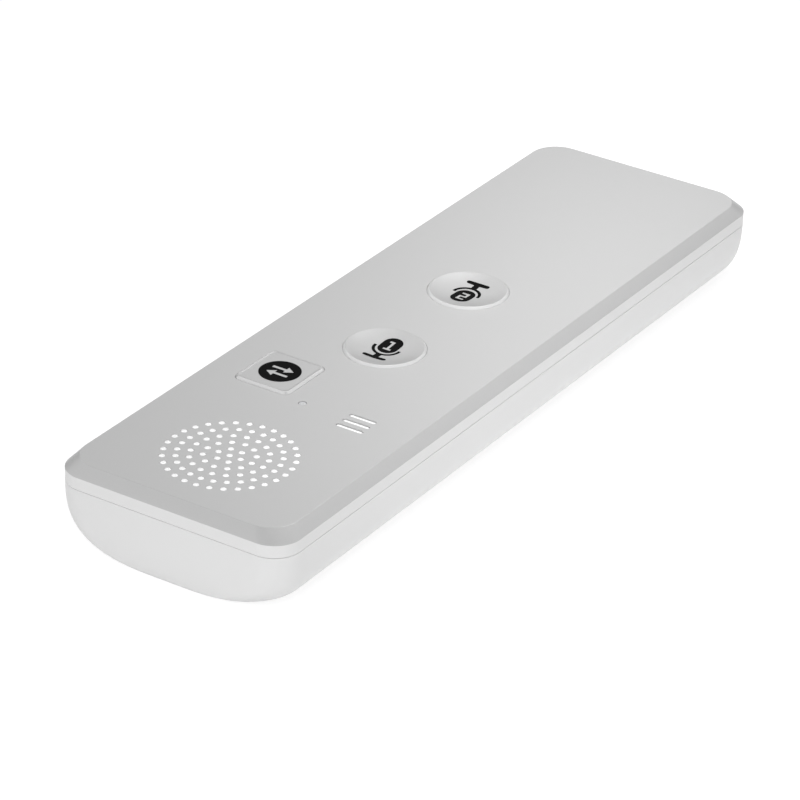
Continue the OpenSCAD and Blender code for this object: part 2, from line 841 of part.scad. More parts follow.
module talk_key_near() { color(silver) translate([0, talk_y[0], 0]) talk_key(1); }
module talk_key_near_legend() { color(ink) translate([0, talk_y[0], 0]) talk_legend(1); }
module talk_key_near_plunger() { tact_plunger(0, talk_y[0]); }
module talk_key_far() { color(silver) translate([0, talk_y[1], 0]) rotate(180) talk_key(2); }
module talk_key_far_legend() { color(ink) translate([0, talk_y[1], 0]) rotate(180) talk_legend(2); }
module talk_key_far_plunger() { tact_plunger(0, talk_y[1]); }
module mode_key() { color(silver) translate([mode_key_x, mode_key_y, 0]) mode_key_body(); }
module mode_key_legend() {
    color(ink) translate([mode_key_x, mode_key_y, mode_face_z - legend_depth])
        linear_extrude(legend_depth) mode_sign();
}
module mode_key_plunger() { tact_plunger(mode_key_x, mode_key_y); }

// Minus sign in the cap of a volume key, or with plus a plus sign
module volume_sign(plus) {
    for (a = plus ? [0, 90] : [0]) rotate(a) square([sign_length, sign_width], center = true);
}

// Length of a side control's cap, from its outer face to the flange that holds it behind the wall
side_cap_depth = side_flange_x - side_cap_x;

module volume_key(y, plus) {
    color(white) translate([0, y, side_z]) rotate([90, 0, 90]) {
        difference() {
            translate([0, 0, side_cap_x]) linear_extrude(side_cap_depth + side_flange / 2)
                stadium(volume_key_length, volume_key_height);
            translate([0, 0, side_cap_x - past]) linear_extrude(past + sign_depth) volume_sign(plus);
        }
        translate([0, 0, side_flange_x]) linear_extrude(side_flange)
            stadium(volume_key_length + 2 * side_flange_reach, side_flange_height);
        translate([0, 0, side_flange_x])
            cylinder(r = side_post_r, h = side_plunger_x - side_flange_x, $fn = smooth);
    }
}

module volume_up_key() { volume_key(volume_y[1], true); }
module volume_up_plunger() { side_plunger(volume_y[1]); }
module volume_down_key() { volume_key(volume_y[0], false); }
module volume_down_plunger() { side_plunger(volume_y[0]); }

module power_slider() {
    grip_pitch = 0.9;
    grip = [0.3, power_knob[1] + past, past + 0.2];
    socket = power_lever + fit_gap;
    color(white) translate([0, rest_power_y, side_z]) rotate([90, 0, 90]) difference() {
        union() {
            translate([0, 0, side_cap_x]) linear_extrude(side_cap_depth + side_flange / 2)
                stadium(power_knob[0], power_knob[1]);
            translate([0, 0, side_flange_x]) linear_extrude(side_flange)
                stadium(power_knob[0] + 2 * power_travel + 8 * slot_gap, side_flange_height);
        }
        for (k = [-1:1])
            translate([k * grip_pitch, 0, side_cap_x - past + grip[2] / 2]) cube(grip, center = true);
        translate([0, 0, side_flange_x + side_flange / 2 + past])
            cube([socket, socket, 2 * past], center = true);
    }
}

module power_slider_lever() {
    x = side_flange_x + side_flange / 2 + hair;
    color(dark) translate([x, rest_power_y - power_lever / 2, side_z - power_lever / 2])
        cube([side_switch_x + power_lever_in - x, power_lever, power_lever]);
}

front_panel();
panel_adhesive();
front_frame();
rear_cover();
speaker_mesh();
microphone_mesh();
speaker_basket();
speaker_magnet();
speaker_cone();
speaker_gasket();
speaker_leads();
main_board();
board_screws();
front_switches();
volume_switches();
power_switch();
usb_socket();
usb_tongue();
microphone_capsule();
microphone_boot();
battery_cell();
battery_tape();
battery_connector();
battery_lead_positive();
battery_lead_negative();
processor_shield();
memory_chip();
antenna_film();
indicator_light_pipe();
indicator_led();
talk_key_near();
talk_key_near_legend();
talk_key_near_plunger();
talk_key_far();
talk_key_far_legend();
talk_key_far_plunger();
mode_key();
mode_key_legend();
mode_key_plunger();
volume_up_key();
volume_up_plunger();
volume_down_key();
volume_down_plunger();
power_slider();
power_slider_lever();
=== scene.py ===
"""Looks of a handheld voice translator: a slim white bar with a silver front panel and three keys.

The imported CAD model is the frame, and every piece here rides on one of its bodies. Lengths in this
file are millimetres, and a mesh is scaled to metres when its piece is placed.
"""

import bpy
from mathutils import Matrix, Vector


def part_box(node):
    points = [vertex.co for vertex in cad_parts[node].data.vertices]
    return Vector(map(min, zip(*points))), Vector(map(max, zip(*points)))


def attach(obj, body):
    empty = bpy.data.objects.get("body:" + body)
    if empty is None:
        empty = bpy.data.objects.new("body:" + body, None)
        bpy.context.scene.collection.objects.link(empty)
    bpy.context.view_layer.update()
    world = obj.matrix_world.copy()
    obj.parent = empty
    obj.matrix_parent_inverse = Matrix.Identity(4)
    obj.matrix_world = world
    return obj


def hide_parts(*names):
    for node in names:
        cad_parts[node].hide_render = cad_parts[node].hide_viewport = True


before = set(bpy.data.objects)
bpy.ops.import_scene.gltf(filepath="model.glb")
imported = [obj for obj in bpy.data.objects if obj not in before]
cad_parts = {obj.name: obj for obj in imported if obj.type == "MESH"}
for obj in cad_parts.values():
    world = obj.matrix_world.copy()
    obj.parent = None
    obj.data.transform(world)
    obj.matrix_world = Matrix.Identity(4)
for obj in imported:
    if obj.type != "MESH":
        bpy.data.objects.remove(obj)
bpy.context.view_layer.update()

import ast
import logging
import math
from collections.abc import Callable, Sequence
from dataclasses import dataclass, field
from enum import Enum
from typing import Any

import bmesh
import bpy
from bpy.types import Material, Mesh, Node, NodeSocket, NodeTree, Object
from mathutils import Matrix, Quaternion, Vector
from mathutils.geometry import delaunay_2d_cdt

# Metres in a millimetre
MM = 0.001
# How far a cutter reaches past what it cuts
PAST = 1.0
# Edges that turn by more than this stay sharp
SMOOTH_ANGLE = math.radians(32)
# Points closer together than this become one
MERGE = 0.0005
WHITE = (1.0, 1.0, 1.0, 1.0)

Point = tuple[float, float]
Ring = list[tuple[float, float, float]]
log = logging.getLogger("translator")


# ---- tools for the scene and for node trees ----


def linked(name: str, data: Any) -> Object:
    """Makes an object for a mesh, a lamp or a camera, and puts it in the scene.

    Args:
        name: Name of the object.
        data: The mesh, lamp or camera.

    Returns:
        The object.
    """
    item = bpy.data.objects.new(name, data)
    bpy.context.scene.collection.objects.link(item)
    return item


def cleared_tree(owner: Any) -> NodeTree:
    """Lets a material or a world use nodes, and empties its tree.

    Args:
        owner: The material or the world.

    Returns:
        Its tree.
    """
    owner.use_nodes = True
    owner.node_tree.nodes.clear()
    return owner.node_tree


def linear(colour: str) -> tuple[float, float, float, float]:
    """Turns an sRGB hex colour into linear light.

    Args:
        colour: Six hex digits after a hash sign.

    Returns:
        Red, green, blue and an alpha of 1.
    """
    shares = [int(colour[i:i + 2], 16) / 255 for i in (1, 3, 5)]
    red, green, blue = (s / 12.92 if s <= 0.04045 else ((s + 0.055) / 1.055) ** 2.4 for s in shares)
    return red, green, blue, 1.0


def add_node(tree: NodeTree, kind: str, inputs: dict[str | int, Any] | None = None,
             **settings: Any) -> Node:
    """Adds one node with its settings, values and links.

    Args:
        tree: The shader or geometry tree that gets the node.
        kind: Blender's name for the type of node.
        inputs: What goes into each socket, by name or number: a node, a socket, a list of those, or a value.
        **settings: Properties of the node itself.

    Returns:
        The new node.
    """
    node = tree.nodes.new(kind)
    for name, value in settings.items():
        setattr(node, name, value)
    for key, given in (inputs or {}).items():
        named = [s for s in node.inputs if s.enabled and s.name == key]
        socket = node.inputs[key] if isinstance(key, int) else named[0]
        for value in given if isinstance(given, list) else [given]:
            if isinstance(value, Node):
                value = next(s for s in value.outputs if s.enabled)
            if isinstance(value, NodeSocket):
                tree.links.new(value, socket)
            else:
                socket.default_value = value
    return node


OPERATORS = {ast.Add: "ADD", ast.Sub: "SUBTRACT", ast.Mult: "MULTIPLY", ast.Div: "DIVIDE",
             ast.Pow: "POWER", ast.Mod: "FLOORED_MODULO"}
FUNCTIONS = {"sin": "SINE", "cos": "COSINE", "atan2": "ARCTAN2", "round": "ROUND", "floor": "FLOOR",
             "sign": "SIGN", "least": "MINIMUM", "most": "MAXIMUM", "less": "LESS_THAN"}
ANGLES = {"full_turn": math.tau, "quarter_turn": math.pi / 2}


def formula(tree: NodeTree, text: str, **terms: Any) -> Any:
    """Writes a formula as math nodes.

    Args:
        tree: The tree that gets the nodes.
        text: The formula, in the operators, functions and angles of the three tables above.
        **terms: A socket or a number for each name in the formula.

    Returns:
        The socket that holds the result, or a number where the formula is only that.
    """
    terms = ANGLES | terms

    def build(part: ast.AST) -> Any:
        """Adds the nodes of one part of the formula.

        Args:
            part: The part, as Python reads it.

        Returns:
            Its socket, or its number.
        """
        if isinstance(part, ast.Constant):
            return float(part.value)
        if isinstance(part, ast.Name):
            return terms[part.id]
        if isinstance(part, ast.Call):
            kind = FUNCTIONS[part.func.id]
            return add_node(tree, "ShaderNodeMath", dict(enumerate(map(build, part.args))), operation=kind)
        sides = {0: build(part.left), 1: build(part.right)}
        return add_node(tree, "ShaderNodeMath", sides, operation=OPERATORS[type(part.op)])

    return build(ast.parse(text).body[0].value)


class GrowthTree:
    """A Geometry Nodes tree with named inputs, which is evaluated into a plain mesh."""

    SOCKETS = {float: "NodeSocketFloat", int: "NodeSocketInt", Vector: "NodeSocketVector",
               Object: "NodeSocketObject", Material: "NodeSocketMaterial"}

    def __init__(self, name: str) -> None:
        """Starts an empty tree.

        Args:
            name: What the tree makes.
        """
        self.tree = bpy.data.node_groups.new(name, "GeometryNodeTree")
        self.tree.interface.new_socket("Geometry", in_out="OUTPUT", socket_type="NodeSocketGeometry")
        self.tree.interface.new_socket("Geometry", in_out="INPUT", socket_type="NodeSocketGeometry")
        self.entry = self.tree.nodes.new("NodeGroupInput")
        self.values: dict[str, Any] = {}

    @property
    def geometry(self) -> NodeSocket:
        """The mesh that the tree starts from."""
        return self.entry.outputs["Geometry"]

    def size(self, name: str, value: Any) -> NodeSocket:
        """Adds a named input.

        Args:
            name: Name of the input.
            value: What it is set to: a length, a count, a vector, an object or a material.

        Returns:
            The socket that carries it inside the tree.
        """
        kind = next(s for t, s in self.SOCKETS.items() if isinstance(value, t))
        self.tree.interface.new_socket(name, in_out="INPUT", socket_type=kind)
        self.values[name] = value
        return self.entry.outputs[name]

    def add(self, kind: str, inputs: dict[str | int, Any] | None = None, **settings: Any) -> Node:
        """Adds a node, as add_node does."""
        return add_node(self.tree, kind, inputs, **settings)

    def shape(self, name: str, shape: Object) -> NodeSocket:
        """Adds a named input that holds an object, and returns that object's mesh inside the tree."""
        return self.add("GeometryNodeObjectInfo", {"Object": self.size(name, shape)}).outputs["Geometry"]

    def cut(self, body: Any, tools: list[Any], operation: str = "DIFFERENCE") -> NodeSocket:
        """Adds a boolean.

        Args:
            body: The mesh that is cut or added to.
            tools: The meshes and instances that cut it or join it.
            operation: DIFFERENCE or UNION.

        Returns:
            The socket with the result.
        """
        inputs = {1: [body, *tools]} if operation == "UNION" else {0: body, 1: tools}
        result = self.add("GeometryNodeMeshBoolean", inputs, operation=operation, solver="EXACT")
        return result.outputs["Mesh"]

    def grow(self, result: Any, material: Material, start: Mesh | None = None,
             others: Sequence[tuple[Material, Any]] = ()) -> Mesh:
        """Ends the tree with Realize Instances and Set Material, and evaluates it.

        Args:
            result: The socket with the finished geometry.
            material: Material of every face.
            start: The mesh that the tree starts from, if it does.
            others: Further materials, each with the selection of faces that get it instead.

        Returns:
            The plain mesh, in millimetres.
        """
        last = self.add("GeometryNodeRealizeInstances", {"Geometry": result})
        last = self.add("GeometryNodeSetMaterial",
                        {"Geometry": last, "Material": self.size("Material", material)})
        for number, (other, chosen) in enumerate(others, 2):
            last = self.add("GeometryNodeSetMaterial", {
                "Geometry": last, "Material": self.size(f"Material {number}", other), "Selection": chosen})
        self.add("NodeGroupOutput", {"Geometry": last})
        holder = linked(self.tree.name, start or bpy.data.meshes.new(self.tree.name))
        modifier = holder.modifiers.new(self.tree.name, "NODES")
        modifier.node_group = self.tree
        entries = {s.name: s.identifier for s in self.tree.interface.items_tree if s.in_out == "INPUT"}
        for name, value in self.values.items():
            modifier[entries[name]] = value
        depsgraph = bpy.context.evaluated_depsgraph_get()
        mesh = bpy.data.meshes.new_from_object(holder.evaluated_get(depsgraph), depsgraph=depsgraph)
        holder.modifiers.remove(modifier)
        bpy.data.objects.remove(holder)
        return mesh


# ---- finishes ----

# Roughness of a clear coat
COAT_ROUGHNESS = 0.25
# Detail of the noise in an even grain, in the lines of brushed metal and in an uneven spray
GRAIN_DETAIL, LINE_DETAIL, SPRAY_DETAIL = 3.0, 4.0, 2.0
# How much of each finer step of an even grain is left
GRAIN_FALL = 0.55
# Heights of a pattern between which the roughness goes from one end of its range to the other
MIDDLE = (0.25, 0.75)


class Slot(Enum):
    """The record's material slots."""

    SILVER_PAINT = "silver_paint"
    KEY_SILVER = "key_silver"
    WHITE_SHELL = "white_shell"
    LEGEND_BLACK = "legend_black"
    MESH_WHITE = "mesh_white"
    ADHESIVE_BLACK = "adhesive_black"
    FOAM_BLACK = "foam_black"
    STEEL = "steel"
    FERRITE = "ferrite"
    CONE_BLACK = "cone_black"
    WIRE_RED = "wire_red"
    WIRE_BLACK = "wire_black"
    BOARD_GREEN = "board_green"
    SWITCH_BLACK = "switch_black"
    PLUNGER_WHITE = "plunger_white"
    POUCH = "pouch"
    CHIP_BLACK = "chip_black"
    COPPER_FILM = "copper_film"
    LIGHT_PIPE = "light_pipe"
    LED = "led"


@dataclass(frozen=True)
class Finish:
    """A moulded, cast or coated surface with a fine even grain."""

    name: str
    colour: str  # Its colour, as an sRGB hex value
    roughness: float  # Middle of its roughness
    metallic: float = 0.0  # Share that shines as metal does
    ior: float = 1.5  # Index of refraction; a metal keeps the default
    grain: float = 0.4  # Size of its grain, in millimetres
    relief: float = 0.002  # Height of the grain, in millimetres
    mottle: float = 0.03  # How much darker the low places of the grain are, from 0 to 1
    spread: float = 0.04  # How far the roughness moves either way
    coat: float = 0.0  # Weight of a clear coat over it
    specular: float = 0.5  # Level of its reflection; 0.5 is what the index of refraction gives

    def material(self) -> Material:
        """Builds the material, with its pattern on object coordinates.

        Returns:
            The material.
        """
        material = bpy.data.materials.new(self.name)
        tree = cleared_tree(material)
        shader = add_node(tree, "ShaderNodeBsdfPrincipled", {
            "Metallic": self.metallic, "IOR": self.ior, "Coat Weight": self.coat,
            "Coat Roughness": COAT_ROUGHNESS, "Specular IOR Level": self.specular})
        place = add_node(tree, "ShaderNodeTexCoord").outputs["Object"]
        height = self.pattern(tree, place)
        self.dress(tree, shader, height)
        self.extra(tree, shader, place)
        add_node(tree, "ShaderNodeOutputMaterial", {"Surface": shader})
        return material

    def scale(self) -> float:
        """Texture scale at which one cell is as wide as the grain."""
        return 1 / (self.grain * MM)

    def pattern(self, tree: NodeTree, place: Any) -> Any:
        """Adds the texture of the surface and returns its height, from 0 to 1."""
        return add_node(tree, "ShaderNodeTexNoise", {
            "Vector": place, "Scale": self.scale(), "Detail": GRAIN_DETAIL,
            "Roughness": GRAIN_FALL}).outputs["Fac"]

    def dress(self, tree: NodeTree, shader: Node, height: Any) -> None:
        """Lets the height of the pattern steer colour, roughness and bump.

        Args:
            tree: The material's tree.
            shader: Its Principled shader.
            height: Socket with the height of the pattern.
        """
        full = linear(self.colour)
        low = (*(c * (1 - self.mottle) for c in full[:3]), 1.0)
        colour = add_node(tree, "ShaderNodeMix", {"Factor": height, 6: low, 7: full}, data_type="RGBA")
        tree.links.new(colour.outputs[2], shader.inputs["Base Color"])
        rough = add_node(tree, "ShaderNodeMapRange", {
            "Value": height, "From Min": MIDDLE[0], "From Max": MIDDLE[1],
            "To Min": self.roughness - self.spread, "To Max": self.roughness + self.spread})
        tree.links.new(rough.outputs[0], shader.inputs["Roughness"])
        bump = add_node(tree, "ShaderNodeBump", {"Height": height, "Distance": self.relief * MM,
                                                 "Strength": 1.0})
        tree.links.new(bump.outputs["Normal"], shader.inputs["Normal"])

    def extra(self, tree: NodeTree, shader: Node, place: Any) -> None:
        """Adds what only some finishes have; the plain one adds nothing."""


@dataclass(frozen=True)
class FlakePaint(Finish):
    """Silver lacquer: fine aluminium flakes, each leaning a little its own way, in a satin coat."""

    # Share of the height that the flakes make; the unevenness of the spray makes the rest
    flake_share: float = 0.6
    spray_width: float = 12.0  # Width of that unevenness, in flakes

    def pattern(self, tree: NodeTree, place: Any) -> Any:
        """Adds flakes as cells of a random height, with a wide soft unevenness of the spray under them.

        Args:
            tree: The material's tree.
            place: Object coordinates.

        Returns:
            The height of the pattern, from 0 to 1.
        """
        flakes = add_node(tree, "ShaderNodeTexVoronoi", {"Vector": place, "Scale": self.scale()})
        tone = add_node(tree, "ShaderNodeSeparateColor", {"Color": flakes.outputs["Color"]})
        spray = add_node(tree, "ShaderNodeTexNoise", {
            "Vector": place, "Scale": self.scale() / self.spray_width, "Detail": SPRAY_DETAIL})
        return formula(tree, "tone * share + spray * (1 - share)", tone=tone.outputs["Red"],
                       spray=spray.outputs["Fac"], share=self.flake_share)


@dataclass(frozen=True)
class Woven(Finish):
    """Plain-woven cloth of round threads, grain millimetres apart."""

    def pattern(self, tree: NodeTree, place: Any) -> Any:
        """Adds the over and under of two sets of threads."""
        axes = add_node(tree, "ShaderNodeSeparateXYZ", {"Vector": place})
        return formula(tree, "0.5 + 0.5 * sin(x * k) * sin(y * k)", x=axes.outputs["X"],
                       y=axes.outputs["Y"], k=math.pi * self.scale())


@dataclass(frozen=True)
class Brushed(Finish):
    """Rolled or brushed metal: fine lines along the part's length."""

    squeeze: float = 0.06  # Width of a line as a share of its length

    def pattern(self, tree: NodeTree, place: Any) -> Any:
        """Adds noise that is drawn out along Y."""
        stretched = add_node(tree, "ShaderNodeMapping", {
            "Vector": place, "Scale": (1.0, self.squeeze, 1.0)})
        return add_node(tree, "ShaderNodeTexNoise", {
            "Vector": stretched, "Scale": self.scale(), "Detail": LINE_DETAIL}).outputs["Fac"]


@dataclass(frozen=True)
class SolderMask(Finish):
    """Green lacquer over copper tracks, which show as slightly raised paler lines."""

    track: float = 0.12  # Width of a track, in grains, as are the next two
    run: float = 2.6  # Length between two crossings of tracks
    row: float = 0.7  # Distance between two tracks
    field_height: float = 0.25  # Height of every other field between the tracks, which are 1 high

    def pattern(self, tree: NodeTree, place: Any) -> Any:
        """Adds a grid of track ends and runs."""
        tracks = add_node(tree, "ShaderNodeTexBrick", {
            "Vector": place, "Scale": self.scale(), "Mortar Size": self.track, "Brick Width": self.run,
            "Row Height": self.row, "Mortar": WHITE, "Color1": (0, 0, 0, 1),
            "Color2": (*(self.field_height,) * 3, 1)})
        return add_node(tree, "ShaderNodeSeparateColor", {"Color": tracks.outputs["Color"]}).outputs["Red"]


@dataclass(frozen=True)
class ClearResin(Finish):
    """Frosted clear plastic that lets some of the light through."""

    clear: float = 0.45  # Share of the light that goes straight through
    milky: float = 0.3  # Share that is scattered inside
    reach: float = 0.5  # How far the scattered light gets, in millimetres

    def extra(self, tree: NodeTree, shader: Node, place: Any) -> None:
        """Opens the plastic to light.

        Args:
            tree: The material's tree.
            shader: Its Principled shader.
            place: Object coordinates.
        """
        shader.inputs["Transmission Weight"].default_value = self.clear
        shader.inputs["Subsurface Weight"].default_value = self.milky
        shader.inputs["Subsurface Radius"].default_value = (1.0, 1.0, 1.0)
        shader.inputs["Subsurface Scale"].default_value = self.reach * MM


FINISHES: dict[Slot, Finish] = {
    # Aluminium-flake lacquer on ABS: a soft neutral grey that brightens towards the light.
    # The flakes are 0.02 mm in fact, and drawn as 0.12 mm so that they show in a close view.
    Slot.SILVER_PAINT: FlakePaint("silver_flake_lacquer", "#c9c9c9", 0.42, metallic=0.6, grain=0.12,
                                  relief=0.0012, mottle=0.06, spread=0.05, coat=0.15),
    # The lacquer on the faces of the keys, a little darker than the panel's
    Slot.KEY_SILVER: FlakePaint("silver_flake_lacquer_keys", "#c5c5c5", 0.42, metallic=0.6, grain=0.12,
                                relief=0.0012, mottle=0.06, spread=0.05, coat=0.15),
    # Satin ABS from a spark-eroded tool: an even, neutral white with a soft wide highlight
    Slot.WHITE_SHELL: Finish("satin_white_abs", "#dbdbdb", 0.36, ior=1.54, grain=0.35, relief=0.0016,
                             mottle=0.015),
    # Pad-printed ink: a dense black that is matt, so that it stays black from every side
    Slot.LEGEND_BLACK: Finish("black_pad_ink", "#060606", 0.7, ior=1.45, grain=0.2, relief=0.001,
                              mottle=0.1, specular=0.08),
    # White acoustic cloth: threads 0.1 mm apart, drawn 0.2 mm apart so that they show
    Slot.MESH_WHITE: Woven("white_acoustic_cloth", "#fcfcfc", 0.75, grain=0.2, relief=0.01, mottle=0.03),
    # Black double-sided film: flat and slightly glossy
    Slot.ADHESIVE_BLACK: Finish("black_adhesive_film", "#17181a", 0.45, grain=1.5, relief=0.004),
    # Closed-cell foam and moulded rubber: dull black with fine open cells
    Slot.FOAM_BLACK: Finish("black_foam", "#1c1d1f", 0.9, grain=0.25, relief=0.02, mottle=0.35),
    # Nickel-plated stamped steel: a bright grey with rolling lines
    Slot.STEEL: Brushed("nickel_plated_steel", "#c9cacc", 0.3, metallic=1.0, grain=0.15, relief=0.001,
                        mottle=0.08, spread=0.08),
    # Sintered ferrite: dark grey, matt, slightly granular
    Slot.FERRITE: Finish("sintered_ferrite", "#2a2b2e", 0.6, grain=0.3, relief=0.006, mottle=0.25),
    # Thermoformed speaker film: dark and slightly glossy
    Slot.CONE_BLACK: Finish("speaker_film", "#1b1b1d", 0.35, grain=0.8, relief=0.003, mottle=0.1),
    # PVC sleeves of the leads: smooth and slightly glossy
    Slot.WIRE_RED: Finish("red_pvc_sleeve", "#b3201c", 0.4, grain=0.5, relief=0.003, mottle=0.08),
    Slot.WIRE_BLACK: Finish("black_pvc_sleeve", "#161618", 0.4, grain=0.5, relief=0.003, mottle=0.08),
    # Glass-epoxy board under green solder mask, with tracks 0.3 mm wide
    Slot.BOARD_GREEN: SolderMask("green_solder_mask", "#1f6a42", 0.35, grain=2.0, relief=0.02,
                                 mottle=0.35),
    # Glass-filled nylon of switches and of the socket's tongue: dull black
    Slot.SWITCH_BLACK: Finish("black_nylon", "#1d1e20", 0.55, grain=0.2, relief=0.003, mottle=0.12),
    # Natural white nylon: slightly warm and waxy
    Slot.PLUNGER_WHITE: Finish("white_nylon", "#eceae2", 0.45, grain=0.3, relief=0.002),
    # Aluminium laminate of a pouch cell: satin silver with soft creases
    Slot.POUCH: Finish("aluminium_laminate", "#b4b9be", 0.38, metallic=0.85, grain=5.0, relief=0.06,
                       mottle=0.06, spread=0.08),
    # Moulded epoxy of a chip: dark grey, finely matt
    Slot.CHIP_BLACK: Finish("moulded_epoxy", "#202124", 0.65, grain=0.12, relief=0.003, mottle=0.15),
    # Copper foil on polyimide film: warm metal with fine rolling lines
    Slot.COPPER_FILM: Brushed("copper_foil", "#c98a5a", 0.35, metallic=0.9, grain=0.2, relief=0.001,
                              mottle=0.1),
    # Frosted polycarbonate: a pale, slightly glowing dot
    Slot.LIGHT_PIPE: ClearResin("frosted_polycarbonate", "#f4f5f7", 0.3, ior=1.585, grain=0.15,
                                relief=0.003, mottle=0.02),
    # Clear resin over the LED's chip: pale yellow
    Slot.LED: ClearResin("led_resin", "#efe7c4", 0.2, ior=1.53, grain=0.3, relief=0.001, mottle=0.02),
}

# Painted shade: a duller grey in the walls of the slits, darker than the white walls of the speaker holes,
# for the shadow inside each slit
SLIT_WALL_PAINTED_SHADE = Finish("bare_grey_abs", "#b4b4b4", 0.5, ior=1.54, grain=0.35, relief=0.0016, mottle=0.05)
# Moulded ABS of the keys' bodies, which shows in their bevels: a paler grey than the lacquer, and in the
# bevels a painted highlight
KEY_BODY_PAINTED_HIGHLIGHT = Finish("pale_grey_abs", "#c8c8c8", 0.36, ior=1.54, grain=0.35, relief=0.0016, mottle=0.015)
# Gold plating of the socket's contacts: warm, smooth and bright
GOLD = Brushed("gold_plating", "#e2bd6c", 0.25, metallic=1.0, grain=0.1, relief=0.0005, mottle=0.05)


class Shelf:
    """Holds one material for each finish, made when it is first asked for."""

    def __init__(self) -> None:
        """Starts with no material made."""
        self.made: dict[str, Material] = {}

    def get(self, wanted: Slot | Finish) -> Material:
        """Gives the material of a slot or of a finish.

        Args:
            wanted: The slot or the finish itself.

        Returns:
            The one material that all its pieces share.
        """
        finish = FINISHES[wanted] if isinstance(wanted, Slot) else wanted
        if finish.name not in self.made:
            self.made[finish.name] = finish.material()
        return self.made[finish.name]


# ---- tools for meshes ----


@dataclass(frozen=True)
class Extent:
    """Box of a CAD node, in millimetres, from its lowest to its highest corner."""

    low: Vector
    high: Vector

    @classmethod
    def of(cls, node: str) -> "Extent":
        """Reads the box of a node from the frame."""
        low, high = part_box(node)
        return cls(low / MM, high / MM)

    @property
    def centre(self) -> Vector:
        """Middle of the box."""
        return (self.low + self.high) / 2

    @property
    def size(self) -> Vector:
        """Length of the box's sides."""
        return self.high - self.low


def rounded_outline(half_x: float, half_y: float, radius: float, steps: int = 12) -> list[Point]:
    """Gives the points of a rectangle with round corners, anticlockwise.

    Args:
        half_x: Half its width.
        half_y: Half its height.
        radius: Radius of its corners; with a half side it becomes a slot or a circle.
        steps: Steps in each quarter turn.

    Returns:
        Its points, with a start and an end point for each corner.
    """
    radius = min(radius, half_x, half_y)
    points = []
    for quarter, (sx, sy) in enumerate([(1, 1), (-1, 1), (-1, -1), (1, -1)]):
        for step in range(steps + 1):
            angle = math.pi / 2 * (quarter + step / steps)
            points.append((sx * (half_x - radius) + radius * math.cos(angle),
                           sy * (half_y - radius) + radius * math.sin(angle)))
    return points


def soften(profile: Sequence[Point], radii: dict[int, float], steps: int = 4) -> list[Point]:
    """Rounds some corners of an open profile with arcs.

    Args:
        profile: Points of the profile.
        radii: Radius for each corner that is rounded, by its place in the profile.
        steps: Steps in each arc.

    Returns:
        The profile with its arcs.
    """
    result: list[Point] = []
    for place, point in enumerate(profile):
        if place not in radii:
            result.append(tuple(point))
            continue
        corner = Vector(point)
        back = (Vector(profile[place - 1]) - corner).normalized()
        ahead = (Vector(profile[place + 1]) - corner).normalized()
        half = back.angle(ahead) / 2
        centre = corner + (back + ahead).normalized() * (radii[place] / math.sin(half))
        start = corner + back * (radii[place] / math.tan(half)) - centre
        end = corner + ahead * (radii[place] / math.tan(half)) - centre
        turn = start.angle_signed(end)
        for step in range(steps + 1):
            arm = Matrix.Rotation(-turn * step / steps, 2) @ start
            result.append(tuple(centre + arm))
    return result


def stack_mesh(name: str, rings: Sequence[Ring]) -> Mesh:
    """Joins a stack of rings into a closed solid.

    Args:
        name: Name of the mesh.
        rings: Rings of equal point counts, from one end of the solid to the other.

    Returns:
        The mesh, in millimetres, with its faces outwards.
    """
    shape = bmesh.new()
    loops = [[shape.verts.new(point) for point in ring] for ring in rings]
    count = len(loops[0])
    for lower, upper in zip(loops, loops[1:]):
        for i in range(count):
            j = (i + 1) % count
            shape.faces.new((lower[i], lower[j], upper[j], upper[i]))
    shape.faces.new(loops[0][::-1])
    shape.faces.new(loops[-1])
    bmesh.ops.remove_doubles(shape, verts=shape.verts, dist=MERGE)
    bmesh.ops.recalc_face_normals(shape, faces=shape.faces)
    mesh = bpy.data.meshes.new(name)
    shape.to_mesh(mesh)
    shape.free()
    return mesh


def lathe_mesh(name: str, profile: Sequence[Point], steps: int = 128) -> Mesh:
    """Turns a profile of radii and heights, from the Z axis out and back to it, into a closed mesh."""
    angles = [2 * math.pi * i / steps for i in range(steps)]
    return stack_mesh(name, [[(r * math.cos(a), r * math.sin(a), z) for a in angles] for r, z in profile])


def moved(mesh: Mesh, place: Sequence[float] | Matrix) -> Mesh:
    """Moves a mesh by a vector or a matrix, with its faces still outwards.

    Args:
        mesh: The mesh.
        place: The vector or the matrix.

    Returns:
        The same mesh.
    """
    matrix = place if isinstance(place, Matrix) else Matrix.Translation(Vector(place))
    mesh.transform(matrix)
    if matrix.determinant() < 0:
        mesh.flip_normals()
    return mesh


def joined(name: str, meshes: Sequence[Mesh]) -> Mesh:
    """Copies several meshes into one, which keeps their materials' places.

    Args:
        name: Name of the new mesh.
        meshes: What goes into it.

    Returns:
        The new mesh.
    """
    shape = bmesh.new()
    for mesh in meshes:
        shape.from_mesh(mesh)
    result = bpy.data.meshes.new(name)
    shape.to_mesh(result)
    shape.free()
    return result


def rounded_stack(name: str, rows: Sequence[tuple[float, float, float, float]], steps: int = 8) -> Mesh:
    """Stacks rectangles, each a half width, half height, corner radius and level, into a closed solid."""
    return stack_mesh(name, [[(x, y, z) for x, y in rounded_outline(half_x, half_y, radius, steps)]
                             for half_x, half_y, radius, z in rows])


def flat_place(place: Vector) -> Vector:
    """A place without its height."""
    return Vector((place.x, place.y, 0.0))


